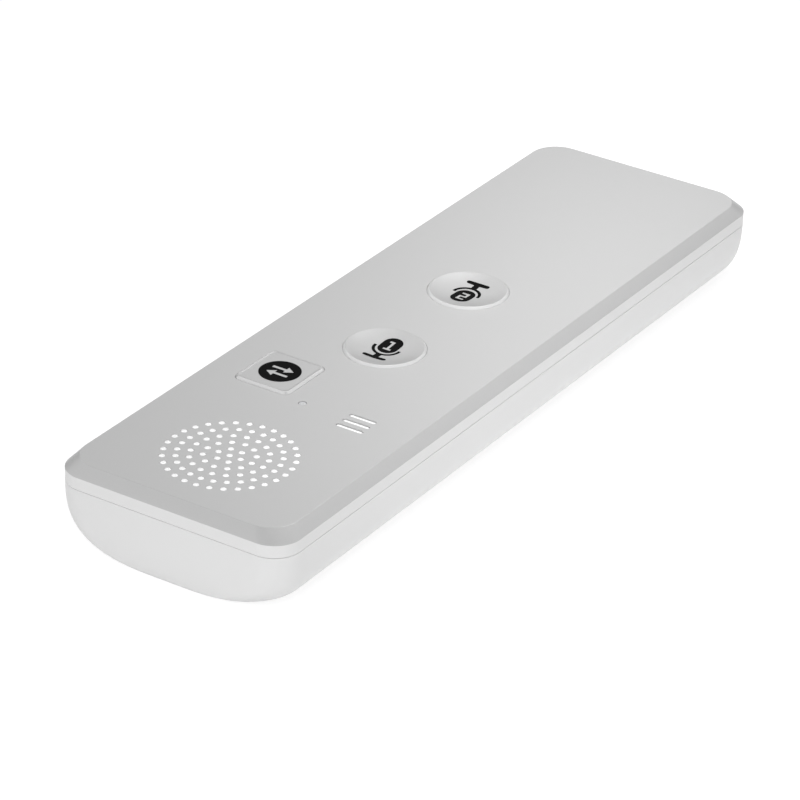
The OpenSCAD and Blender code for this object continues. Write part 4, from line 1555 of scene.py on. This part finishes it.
@dataclass
class RearCover(Assembly):
    """White rear shell: a superelliptic tray with ribs, catch pockets and openings in its wall."""

    wall: float = 1.4  # Thickness of the shell
    corner_r: float = 4.6  # Corner radius at the seam
    base_corner_r: float = 7.4  # Corner radius at the flat underside
    side_reach: float = 12.5  # How far the long sides draw in to the underside
    cavity_side_reach: float = 9.5  # How far the long sides of the cavity draw in
    side_power: float = 3.5  # Squareness of the section across
    end_reach: float = 0.3  # How far the ends draw in
    end_power: float = 3.0  # Squareness of the section along
    edge: float = 0.06  # Radius of the upper edge beside the seam
    # How far the rim reaches into the seam's gap, which narrows the line that it draws
    rim_lift: float = 0.09
    levels: int = 44  # Rings down the depth of a shell
    corner_steps: int = 16
    level_power: float = 2.4  # How much closer the rings lie towards the underside
    edge_levels: int = 3  # Rings in the edge beside the seam
    least_flat: float = 0.1  # Least flat length that a corner leaves on the half of an end
    slot_gap: float = 0.12  # Gap round a control in the left wall
    slot_depth: float = 3.0  # How far a slot's cutter reaches in behind the wall
    socket_gap: float = 0.14
    opening_break: float = 0.08  # Width of the broken edge of an opening
    wall_drop: float = 0.05  # How far the wall at an opening lies inside the cover's box
    catch: tuple[float, float, float] = (0.57, 6.24, 0.74)  # Size of a pocket for a catch of the frame
    catch_root: float = 18.9  # Distance from the middle to the inner side of the pockets
    catch_y: tuple[float, ...] = (-46.0, -10.0, 60.0)  # Places of the pockets along the cover
    catch_below: float = 0.75  # How far their middles lie under the cover's rim
    rib: float = 1.0  # Thickness of the ribs round the battery
    rib_height: float = 3.2
    rib_root: float = 0.3  # How far they reach into the wall
    rib_gap: float = 0.3  # Gap between a rib and the battery
    side_rib: float = 8.0  # Length of the ribs along the battery's sides
    side_rib_pitch: float = 18.0  # Distance between two of them
    end_rib: float = 6.0  # Length of the ribs across its ends
    end_rib_aside: float = 8.0  # Their distance from the middle

    def shell(self, growth: GrowthTree, name: str, loft: Loft, seam: float) -> Node:
        """Adds a closed shell that follows the loft's law to a tree.

        Args:
            growth: The tree.
            name: Name of the shell, which starts the names of its inputs.
            loft: Its law.
            seam: Level of the seam.

        Returns:
            The node with its mesh.
        """
        count = 4 * (self.corner_steps + 1)
        blank = growth.add("GeometryNodeMeshCylinder", {
            "Vertices": count, "Side Segments": self.levels, "Radius": 1.0, "Depth": 1.0},
            fill_type="NGON")
        spot = growth.add("ShaderNodeSeparateXYZ", {"Vector": growth.add("GeometryNodeInputPosition")})
        terms: dict[str, Any] = {
            "x": spot.outputs["X"], "y": spot.outputs["Y"], "z": spot.outputs["Z"], "seam": seam,
            "count": float(count), "steps": float(self.corner_steps), "levels": float(self.levels),
            "first": float(self.edge_levels), "widen": self.base_corner_r - self.corner_r}
        for term in ("level_power", "side_power", "end_power", "end_reach", "least_flat"):
            terms[term] = getattr(self, term)
        for term in loft.__dataclass_fields__:
            terms[term] = growth.size(f"{name} {term.replace('_', ' ')}", getattr(loft, term))
        for result, text in SHELL_LAW:
            terms[result] = formula(growth.tree, text, **terms)
        target = growth.add("ShaderNodeCombineXYZ", {axis: terms[f"to_{axis}"] for axis in "XYZ"})
        return growth.add("GeometryNodeSetPosition", {"Geometry": blank.outputs["Mesh"], "Position": target})

    def openings(self, layout: Layout) -> Mesh:
        """Makes the cutters of the slots in the left wall and of the socket's hole, as one mesh.

        Args:
            layout: Shared levels and places.

        Returns:
            The cutters.
        """
        cutters = []
        outer, inner = layout.cover.high.x, layout.cover.high.x - self.wall
        for node, size in SIDE_CAPS.items():
            control = Extent.of(node)
            travel = PowerSlider.travel if node == PowerSlider.slider else 0.0
            half_x, half_y = (size[0] + travel) / 2 + self.slot_gap, size[1] / 2 + self.slot_gap
            tool = cutter(half_x, half_y, half_y, inner - self.slot_depth, outer - self.wall_drop,
                          self.opening_break)
            cutters.append(moved(tool, side_matrix(control.centre.y + travel / 2, control.centre.z)))
        socket = Extent.of("usb_socket")
        half_x, half_y = socket.size.x / 2 + self.socket_gap, socket.size.z / 2 + self.socket_gap
        end = layout.cover.high.y
        tool = cutter(half_x, half_y, half_y, end - self.wall - PAST, end - self.wall_drop,
                      self.opening_break)
        cutters.append(moved(tool, Matrix.Translation((0, 0, socket.centre.z))
                             @ Matrix.Rotation(-math.pi / 2, 4, "X")))
        return joined("cover_openings", cutters)

    def blocks(self, growth: GrowthTree, name: str, size: Sequence[float],
               places: Sequence[Sequence[float]]) -> Node:
        """Adds equal blocks at the corners of a grid of places to a tree.

        Args:
            growth: The tree.
            name: Name of the blocks, which starts the names of their inputs.
            size: Size of a block.
            places: The coordinates of their middles along X, Y and Z; each place on one axis meets all on
                the others.

        Returns:
            The node with the blocks as instances.
        """
        spots = [(x, y, z) for x in places[0] for y in places[1] for z in places[2]]
        points = growth.shape(f"{name} places", scratch(point_mesh(name, spots)))
        block = growth.add("GeometryNodeMeshCube", {"Size": growth.size(f"{name} size", Vector(size))})
        return growth.add("GeometryNodeInstanceOnPoints", {"Points": points, "Instance": block})

    def build(self, layout: Layout, shelf: Shelf) -> None:
        """Grows the cover and places it.

        Args:
            layout: Shared levels and places.
            shelf: Its materials.
        """
        growth = GrowthTree("Rear cover")
        seam, low = layout.cover.high.z + self.rim_lift, layout.cover.low.z
        half_w, half_l = layout.cover.size.x / 2, layout.cover.size.y / 2
        outer = self.shell(growth, "Shell", Loft(half_w, half_l, self.corner_r, seam - low,
                                                 self.side_reach, 0.0, self.edge), seam)
        cavity = self.shell(growth, "Cavity", Loft(
            half_w - self.wall, half_l - self.wall, self.corner_r - self.wall, seam - low - self.wall,
            self.cavity_side_reach, PAST, 0.0), seam)
        cell = Extent.of("battery_cell")
        reach = cell.size / 2 + Vector((1, 1, 0)) * (self.rib / 2 + self.rib_gap)
        height = low + self.wall - self.rib_root + self.rib_height / 2
        ribs = [
            self.blocks(growth, "Side rib", (self.rib, self.side_rib, self.rib_height), (
                (-reach.x, reach.x), [cell.centre.y + s * self.side_rib_pitch for s in (-1, 0, 1)],
                (height,))),
            self.blocks(growth, "End rib", (self.end_rib, self.rib, self.rib_height), (
                (-self.end_rib_aside, self.end_rib_aside),
                (cell.centre.y - reach.y, cell.centre.y + reach.y), (height,)))]
        catch_x = self.catch_root + self.catch[0] / 2
        catches = self.blocks(growth, "Catch pocket", self.catch, (
            (-catch_x, catch_x), self.catch_y, (layout.cover.high.z - self.catch_below,)))
        tray = growth.cut(outer, [cavity])
        ribbed = growth.cut(tray, ribs, "UNION")
        opened = growth.cut(ribbed, [catches, growth.shape("Openings", scratch(self.openings(layout)))])
        mesh = growth.grow(opened, shelf.get(Slot.WHITE_SHELL))
        Piece("moulded_rear_cover", "housing", Slot.WHITE_SHELL, ("rear_cover",)).place(mesh)


# ---- side controls ----

# Length and width of each control's cap
SIDE_CAPS: dict[str, Point] = {"volume_up_key": (7.0, 2.6), "volume_down_key": (7.0, 2.6),
                               "power_slider": (4.4, 2.2)}


def side_matrix(y: float, z: float) -> Matrix:
    """Points a shape drawn along Z out of the left wall: its X goes along the wall, its Y up, mirrored."""
    turn = Matrix(((0, 0, -1, 0), (1, 0, 0, 0), (0, 1, 0, 0), (0, 0, 0, 1)))
    return Matrix.Translation((0, y, z)) @ turn


@dataclass(frozen=True)
class BarCut:
    """Bars that are cut into a face: signs or grooves."""

    count: int
    pitch: float  # Distance between them, along X
    turn: float  # Angle between one bar and the next
    size: tuple[float, float, float]  # Length and width of a bar, and twice its depth

    def applied(self, mesh: Mesh, material: Material, level: float) -> Mesh:
        """Cuts the bars into a mesh with a tree.

        Args:
            mesh: The mesh.
            material: The material that it gets.
            level: Level of the face.

        Returns:
            The cut mesh.
        """
        growth = GrowthTree("Cut bars")
        count = growth.size("Bar count", self.count)
        index = growth.add("GeometryNodeInputIndex")
        across = formula(growth.tree, "(index - (count - 1) / 2) * pitch", index=index, count=count,
                         pitch=growth.size("Bar pitch", self.pitch))
        angle = formula(growth.tree, "index * turn", index=index, turn=growth.size("Bar turn", self.turn))
        place = growth.add("ShaderNodeCombineXYZ", {"X": across, "Z": growth.size("Bar level", level)})
        bar = growth.add("GeometryNodeMeshCube", {"Size": growth.size("Bar size", Vector(self.size))})
        bars = growth.add("GeometryNodeInstanceOnPoints", {
            "Points": growth.add("GeometryNodePoints", {"Count": count, "Position": place}),
            "Instance": bar, "Rotation": growth.add("ShaderNodeCombineXYZ", {"Z": angle})})
        return growth.grow(growth.cut(growth.geometry, [bars]), material, mesh)


@dataclass
class SideControl(Assembly):
    """A control in the left wall: its rounded cap, the flange that holds it, and what is cut into it."""

    node: str  # CAD node of the control, which is also its body's name
    name: str
    cut: BarCut  # Bars cut into its cap
    flange_reach: Point  # How far the flange reaches past the cap, along and across
    post: Point | None  # Radius and length of the post behind the flange, or nothing
    flange: float = 0.35
    edge: float = 0.28  # Radius of the cap's outer edge

    def build(self, layout: Layout, shelf: Shelf) -> None:
        """Stacks the control outwards, cuts its bars and places it.

        Args:
            layout: Not used.
            shelf: Its materials.
        """
        control = Extent.of(self.node)
        half = Vector(SIDE_CAPS[self.node]) / 2
        flange = half + Vector(self.flange_reach)
        outer = -control.low.x
        post_r, post_length = self.post or (0.0, 0.0)
        back = -control.high.x + post_length
        runs = [(flange, back, 0.0), (flange, back + self.flange, 0.0), (half, back + self.flange, 0.0)]
        if self.post:
            post = Vector((post_r, post_r))
            runs = [(post, -control.high.x, 0.0), (post, back, 0.0), *runs]
        edge = soften([(0, back + self.flange), (0, outer), (half.y / 2, outer)], {1: self.edge}, steps=5)
        runs += [(half, z, inset) for inset, z in edge[1:]]
        rows = [(size.x - inset, size.y - inset, size.y, z) for size, z, inset in runs]
        cap = rounded_stack(self.node, rows, steps=10)
        mesh = self.cut.applied(cap, shelf.get(Slot.WHITE_SHELL), outer)
        moved(mesh, side_matrix(control.centre.y, control.centre.z))
        Piece(self.name, self.node, Slot.WHITE_SHELL, (self.node,)).place(mesh)


class PowerSlider(SideControl):
    """The slider that turns the translator on and off."""

    # How far it slides, along the wall
    travel = 2.0
    slider = "power_slider"


def side_controls() -> list[Assembly]:
    """Lists the left wall's controls: a key with a plus, one with a minus, and the slider.

    Returns:
        The controls.
    """
    bar, flange, post = (1.3, 0.3, 0.24), (0.7, 0.3), (1.0, 0.15)
    grooves, slider_flange = BarCut(3, 0.9, 0.0, (0.3, 3.2, 0.4)), (2.48, 0.5)
    return [
        SideControl("volume_up_key", "volume_up_cap", BarCut(2, 0.0, math.pi / 2, bar), flange, post),
        SideControl("volume_down_key", "volume_down_cap", BarCut(1, 0.0, 0.0, bar), flange, post),
        PowerSlider(PowerSlider.slider, "power_slider_cap", grooves, slider_flange, None)]


# ---- socket, screws and what lies inside ----


@dataclass
class SocketTongue(Assembly):
    """Black tongue of the charging socket with its rows of gold contacts."""

    contacts: int = 12  # Contacts in a row
    pitch: float = 0.5  # Distance between two contacts
    contact_width: float = 0.24  # Width of a contact
    contact_length: float = 3.4  # Its length
    contact_proud: float = 0.03  # Its height above the tongue
    set_back: float = 0.5  # Its distance from the tongue's end
    nose: float = 0.25  # Width of the tongue's rounded end
    nose_share: float = 0.8  # Radius of that end, as a share of its width
    side_r: float = 0.12  # Radius of the tongue's long edges
    # Faces whose squared height is this much more than the tongue's are gold, which takes in the contacts
    gold_from: float = 0.001

    def build(self, layout: Layout, shelf: Shelf) -> None:
        """Grows the tongue with both rows of contacts, and places it.

        Args:
            layout: Not used.
            shelf: Its materials.
        """
        growth = GrowthTree("Socket tongue")
        tongue = Extent.of("usb_tongue")
        size = tongue.size
        half_w, half_t = size.x / 2, size.z / 2
        runs = soften([(0, -size.y / 2), (0, size.y / 2), (self.nose, size.y / 2)],
                      {1: self.nose * self.nose_share})
        rings = [[(x, along, z)
                  for x, z in rounded_outline(half_w - inset, half_t - inset, self.side_r, steps=5)]
                 for inset, along in runs]
        index = growth.add("GeometryNodeInputIndex")
        count = growth.size("Contact count", self.contacts)
        across = formula(growth.tree, "(index % count - (count - 1) / 2) * pitch", index=index, count=count,
                         pitch=growth.size("Contact pitch", self.pitch))
        side = formula(growth.tree, "(floor(index / count) * 2 - 1) * half", index=index, count=count,
                       half=half_t)
        along = size.y / 2 - self.set_back - self.contact_length / 2
        place = growth.add("ShaderNodeCombineXYZ", {"X": across, "Y": along, "Z": side})
        bar = growth.add("GeometryNodeMeshCube", {"Size": growth.size("Contact size", Vector(
            (self.contact_width, self.contact_length, 2 * self.contact_proud)))})
        contacts = growth.add("GeometryNodeInstanceOnPoints", {
            "Points": growth.add("GeometryNodePoints", {"Count": 2 * self.contacts, "Position": place}),
            "Instance": bar})
        whole = growth.cut(growth.geometry, [contacts], "UNION")
        spot = growth.add("ShaderNodeSeparateXYZ", {"Vector": growth.add("GeometryNodeInputPosition")})
        raised = formula(growth.tree, "less(half * half + more, z * z)", half=half_t,
                         more=self.gold_from, z=spot.outputs["Z"])
        mesh = growth.grow(whole, shelf.get(Slot.SWITCH_BLACK), stack_mesh("tongue", rings),
                           [(shelf.get(GOLD), raised)])
        moved(mesh, tongue.centre)
        Piece("socket_tongue_with_contacts", "housing", Slot.SWITCH_BLACK, ("usb_tongue",)).place(mesh)


@dataclass
class BoardScrews(Assembly):
    """Six small screws that hold the board to the front frame's bosses."""

    shank_r: float = 0.8  # Radius over the thread
    root_r: float = 0.62  # Radius at the root of the thread
    head_r: float = 1.4
    head_height: float = 0.8
    head_edge: float = 0.25  # Radius of the head's edge
    thread_pitch: float = 0.35  # Distance between two turns of the thread
    plain: float = 0.3  # Length without thread at both ends of the shank
    tip_share: float = 0.5  # Radius of the tip, as a share of the root's
    recess: tuple[float, float, float] = (1.6, 0.3, 0.8)  # Size of each bar of the cross in the head

    def screw(self, length: float) -> Mesh:
        """Turns one screw, with its head down and the profile of its thread.

        Args:
            length: Its length.

        Returns:
            The screw.
        """
        profile: list[Point] = soften([(0, 0), (self.head_r, 0), (self.head_r, self.head_height)],
                                      {1: self.head_edge})
        z = self.head_height + self.plain
        profile += [(self.shank_r, self.head_height), (self.shank_r, z)]
        while z + self.thread_pitch < length - self.plain:
            profile += [(self.root_r, z + self.thread_pitch / 2), (self.shank_r, z + self.thread_pitch)]
            z += self.thread_pitch
        profile += [(self.root_r * self.tip_share, length), (0, length)]
        return lathe_mesh("board_screw", profile, steps=32)

    def build(self, layout: Layout, shelf: Shelf) -> None:
        """Cuts the cross into one screw, sets it out six times and places the group.

        Args:
            layout: Not used.
            shelf: Its materials.
        """
        group = Extent.of("board_screws")
        board = Extent.of("main_board")
        cross = BarCut(2, 0.0, math.pi / 2, self.recess)
        screw = cross.applied(self.screw(group.size.z), shelf.get(Slot.STEEL), 0.0)
        half_x = group.size.x / 2 - self.head_r
        ends = (group.low.y + self.head_r, group.high.y - self.head_r)
        head_z = board.low.z - self.head_height
        spots = [(s * half_x, y, head_z) for s in (-1, 1) for y in (ends[0], 0.0, ends[1])]
        growth = GrowthTree("Board screws")
        screws = growth.add("GeometryNodeInstanceOnPoints", {
            "Points": growth.geometry, "Instance": growth.shape("Screw", scratch(screw))})
        mesh = growth.grow(screws, shelf.get(Slot.STEEL), point_mesh("screw_places", spots))
        Piece("cross_head_board_screws", "housing", Slot.STEEL, ("board_screws",)).place(mesh)


@dataclass
class CarriedNodes(Assembly):
    """CAD nodes whose shape is right as it is, and which only get their material."""

    # The nodes of each slot
    slots: dict[Slot, tuple[str, ...]] = field(default_factory=lambda: {
        Slot.WHITE_SHELL: ("front_frame",),
        Slot.ADHESIVE_BLACK: ("panel_adhesive",),
        Slot.FOAM_BLACK: ("speaker_gasket", "microphone_boot", "battery_tape"),
        Slot.STEEL: ("speaker_basket", "power_switch", "usb_socket", "microphone_capsule",
                     "processor_shield"),
        Slot.FERRITE: ("speaker_magnet",),
        Slot.CONE_BLACK: ("speaker_cone",),
        Slot.WIRE_RED: ("speaker_leads", "battery_lead_positive"),
        Slot.WIRE_BLACK: ("battery_lead_negative",),
        Slot.BOARD_GREEN: ("main_board",),
        Slot.SWITCH_BLACK: ("front_switches", "volume_switches", "power_slider_lever"),
        Slot.PLUNGER_WHITE: ("battery_connector", "talk_key_near_plunger", "talk_key_far_plunger",
                             "mode_key_plunger", "volume_up_plunger", "volume_down_plunger"),
        Slot.POUCH: ("battery_cell",),
        Slot.CHIP_BLACK: ("memory_chip",),
        Slot.COPPER_FILM: ("antenna_film",),
        Slot.LED: ("indicator_led",),
    })

    def build(self, layout: Layout, shelf: Shelf) -> None:
        """Gives each node its material.

        Args:
            layout: Not used.
            shelf: Its materials.
        """
        for slot, nodes in self.slots.items():
            for node in nodes:
                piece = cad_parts[node]
                piece.data.materials.clear()
                piece.data.materials.append(shelf.get(slot))
                log.info("%s: CAD node, dressed as %s", node, slot.value)


# ---- studio ----


@dataclass(frozen=True)
class Softbox:
    """A rectangular area lamp."""

    name: str
    place: tuple[float, float, float]  # Where it stands, in millimetres
    aim: tuple[float, float, float]  # What it points at
    sides: Point  # Its width and height
    power: float  # Its power, in watts
    turn: float = 0.0  # Its turn about its own axis, in degrees
    spread: float = 180.0  # Angle of its beam, in degrees
    mirrored: bool = True  # Whether glossy surfaces mirror it

    def build(self) -> None:
        """Adds the lamp to the scene."""
        lamp = bpy.data.lights.new(self.name, "AREA")
        lamp.shape = "RECTANGLE"
        lamp.size, lamp.size_y = self.sides[0] * MM, self.sides[1] * MM
        lamp.energy = self.power
        lamp.spread = math.radians(self.spread)
        item = linked(self.name, lamp)
        item.location = Vector(self.place) * MM
        item.rotation_mode = "QUATERNION"
        beam = (Vector(self.aim) - Vector(self.place)).to_track_quat("-Z", "Y")
        item.rotation_quaternion = beam @ Quaternion((0, 0, 1), math.radians(self.turn))
        item.visible_camera = False
        item.visible_glossy = self.mirrored


@dataclass
class Studio:
    """White table, soft light and the camera at the photograph's viewing angle."""

    frame_px: float = 800  # Side of the square picture
    azimuth: float = 32.268  # Turn of the camera round the object, in degrees
    elevation: float = 28.584  # Its angle above the table
    roll: float = 1.76  # Its tilt about its own axis
    distance: float = 620.2  # Its distance from the origin, along its own axis
    focal_px: float = 3916.3  # Its focal length, in pixels of the picture
    aside: Point = (4.174, 9.26)  # How far right and up of its axis the origin lies
    aim_height: float = 10.0  # Height of that origin above the table
    sky: float = 0.536  # Strength of the light from all round on matt surfaces
    # Strength of the world that glossy surfaces mirror: at the horizon, in the bright band of soft light
    # over it, and above that band
    mirrored: tuple[float, float, float] = (0.26, 0.98, 0.56)
    # Heights, as the sine of the elevation, between which the world turns to its next strength
    band: tuple[Point, Point] = ((0.2, 0.35), (0.6, 0.75))
    shadow: float = 0.3  # Share of the floor's own shading that the camera sees
    table: float = 1.18  # Strength of the table's white
    # Colour of the table, as an sRGB hex value
    paper: str = "#f8f8f8"
    floor_side: float = 6000.0  # Side of the table, in millimetres
    floor_drop: float = 0.02  # How far the table lies under the object, so that their faces don't meet
    sensor: float = 36.0  # Width of the camera's sensor
    clip: Point = (0.01, 20.0)  # Nearest and farthest distance that the camera sees, in metres
    softboxes: tuple[Softbox, ...] = (
        Softbox("softbox_front", (250, -700, 500), (0, 0, 0), (500, 500), 3.3, mirrored=False),
        Softbox("softbox_strip", (6.7, 50.9, 124), (6.7, 50.9, 0), (150, 50), 0.0356, 111, 90),
        Softbox("softbox_strip_near", (42.7, -42.4, 124), (42.7, -42.4, 0), (50, 50), 0.011, 111, 90,
                mirrored=False),
    )

    def camera(self) -> None:
        """Places the camera and makes it the scene's."""
        turn, rise, tilt = (math.radians(a) for a in (self.azimuth, self.elevation, self.roll))
        back = Vector((math.sin(turn) * math.cos(rise), -math.cos(turn) * math.cos(rise), math.sin(rise)))
        level = Vector((math.cos(turn), math.sin(turn), 0))
        upright = back.cross(level)
        right = level * math.cos(tilt) + upright * math.sin(tilt)
        up = upright * math.cos(tilt) - level * math.sin(tilt)
        place = back * self.distance - right * self.aside[0] - up * self.aside[1]
        place.z += self.aim_height
        lens = bpy.data.cameras.new("camera")
        lens.sensor_width = self.sensor
        lens.lens = self.focal_px / self.frame_px * self.sensor
        lens.clip_start, lens.clip_end = self.clip
        camera = linked("camera", lens)
        camera.matrix_world = Matrix((
            (right.x, up.x, back.x, place.x * MM), (right.y, up.y, back.y, place.y * MM),
            (right.z, up.z, back.z, place.z * MM), (0, 0, 0, 1)))
        bpy.context.scene.camera = camera

    @staticmethod
    def seen(tree: NodeTree, *kinds: str) -> Any:
        """Adds a share that is 1 for rays of the given kinds and 0 for all others.

        Args:
            tree: The tree of a material or of the world.
            *kinds: Camera, Glossy or Transmission.

        Returns:
            The socket with the share.
        """
        ray = add_node(tree, "ShaderNodeLightPath")
        share: Any = 0.0
        for kind in kinds:
            share = formula(tree, "most(share, ray)", share=share, ray=ray.outputs[f"Is {kind} Ray"])
        return share

    def world(self) -> None:
        """Makes a world that lights evenly, looks white and mirrors as a bright band over the horizon."""
        world = bpy.data.worlds.new("studio")
        tree = cleared_tree(world)
        direction = add_node(tree, "ShaderNodeTexCoord").outputs["Generated"]
        up = add_node(tree, "ShaderNodeSeparateXYZ", {"Vector": direction}).outputs["Z"]
        mirrored = self.mirrored[0]
        for (start, end), below, above in zip(self.band, self.mirrored, self.mirrored[1:]):
            rise = add_node(tree, "ShaderNodeMapRange", {
                "Value": up, "From Min": start, "From Max": end, "To Min": 0.0,
                "To Max": above - below}, interpolation_type="SMOOTHSTEP")
            mirrored = formula(tree, "a + b", a=mirrored, b=rise.outputs[0])
        strength = formula(
            tree, "clear + (1 - clear) * (gloss * mirrored + (1 - gloss) * sky)",
            clear=self.seen(tree, "Camera", "Transmission"), gloss=self.seen(tree, "Glossy"),
            mirrored=mirrored, sky=self.sky)
        light = add_node(tree, "ShaderNodeBackground", {"Color": WHITE, "Strength": strength})
        add_node(tree, "ShaderNodeOutputWorld", {"Surface": light})
        bpy.context.scene.world = world

    def floor(self) -> None:
        """Lays a white table that shows the object's soft shadow faintly."""
        half, level = self.floor_side / 2 * MM, -self.floor_drop * MM
        mesh = bpy.data.meshes.new("floor")
        corners = [(x * half, y * half, level) for x, y in ((-1, -1), (1, -1), (1, 1), (-1, 1))]
        mesh.from_pydata(corners, [], [(0, 1, 2, 3)])
        material = bpy.data.materials.new("white_table")
        tree = cleared_tree(material)
        paper = add_node(tree, "ShaderNodeBsdfDiffuse", {"Color": linear(self.paper)})
        white = add_node(tree, "ShaderNodeEmission", {"Color": WHITE, "Strength": self.table})
        share = formula(tree, "seen * (1 - shadow)", shadow=self.shadow,
                        seen=self.seen(tree, "Camera", "Glossy", "Transmission"))
        surface = add_node(tree, "ShaderNodeMixShader", {0: share, 1: paper, 2: white})
        add_node(tree, "ShaderNodeOutputMaterial", {"Surface": surface})
        mesh.materials.append(material)
        linked("floor", mesh)

    def build(self) -> None:
        """Sets up the whole studio."""
        bpy.context.scene.view_settings.view_transform = "Standard"
        self.camera()
        self.world()
        self.floor()
        for softbox in self.softboxes:
            softbox.build()


def main() -> None:
    """Builds every sub-assembly of the translator and the studio round it."""
    logging.basicConfig(level=logging.INFO, format="%(message)s")
    layout, shelf = Layout(), Shelf()
    assemblies: list[Assembly] = [
        RearCover(),
        FrontPanel(),
        AcousticCloth(),
        LightPipe(),
        TalkKey("talk_key_near", Numeral.ONE, False),
        TalkKey("talk_key_far", Numeral.TWO, True),
        ModeKey(),
        *side_controls(),
        SocketTongue(),
        BoardScrews(),
        CarriedNodes(),
    ]
    for assembly in assemblies:
        log.info("building %s", type(assembly).__name__)
        assembly.build(layout, shelf)
    Studio().build()


if __name__ == "__main__":
    main()
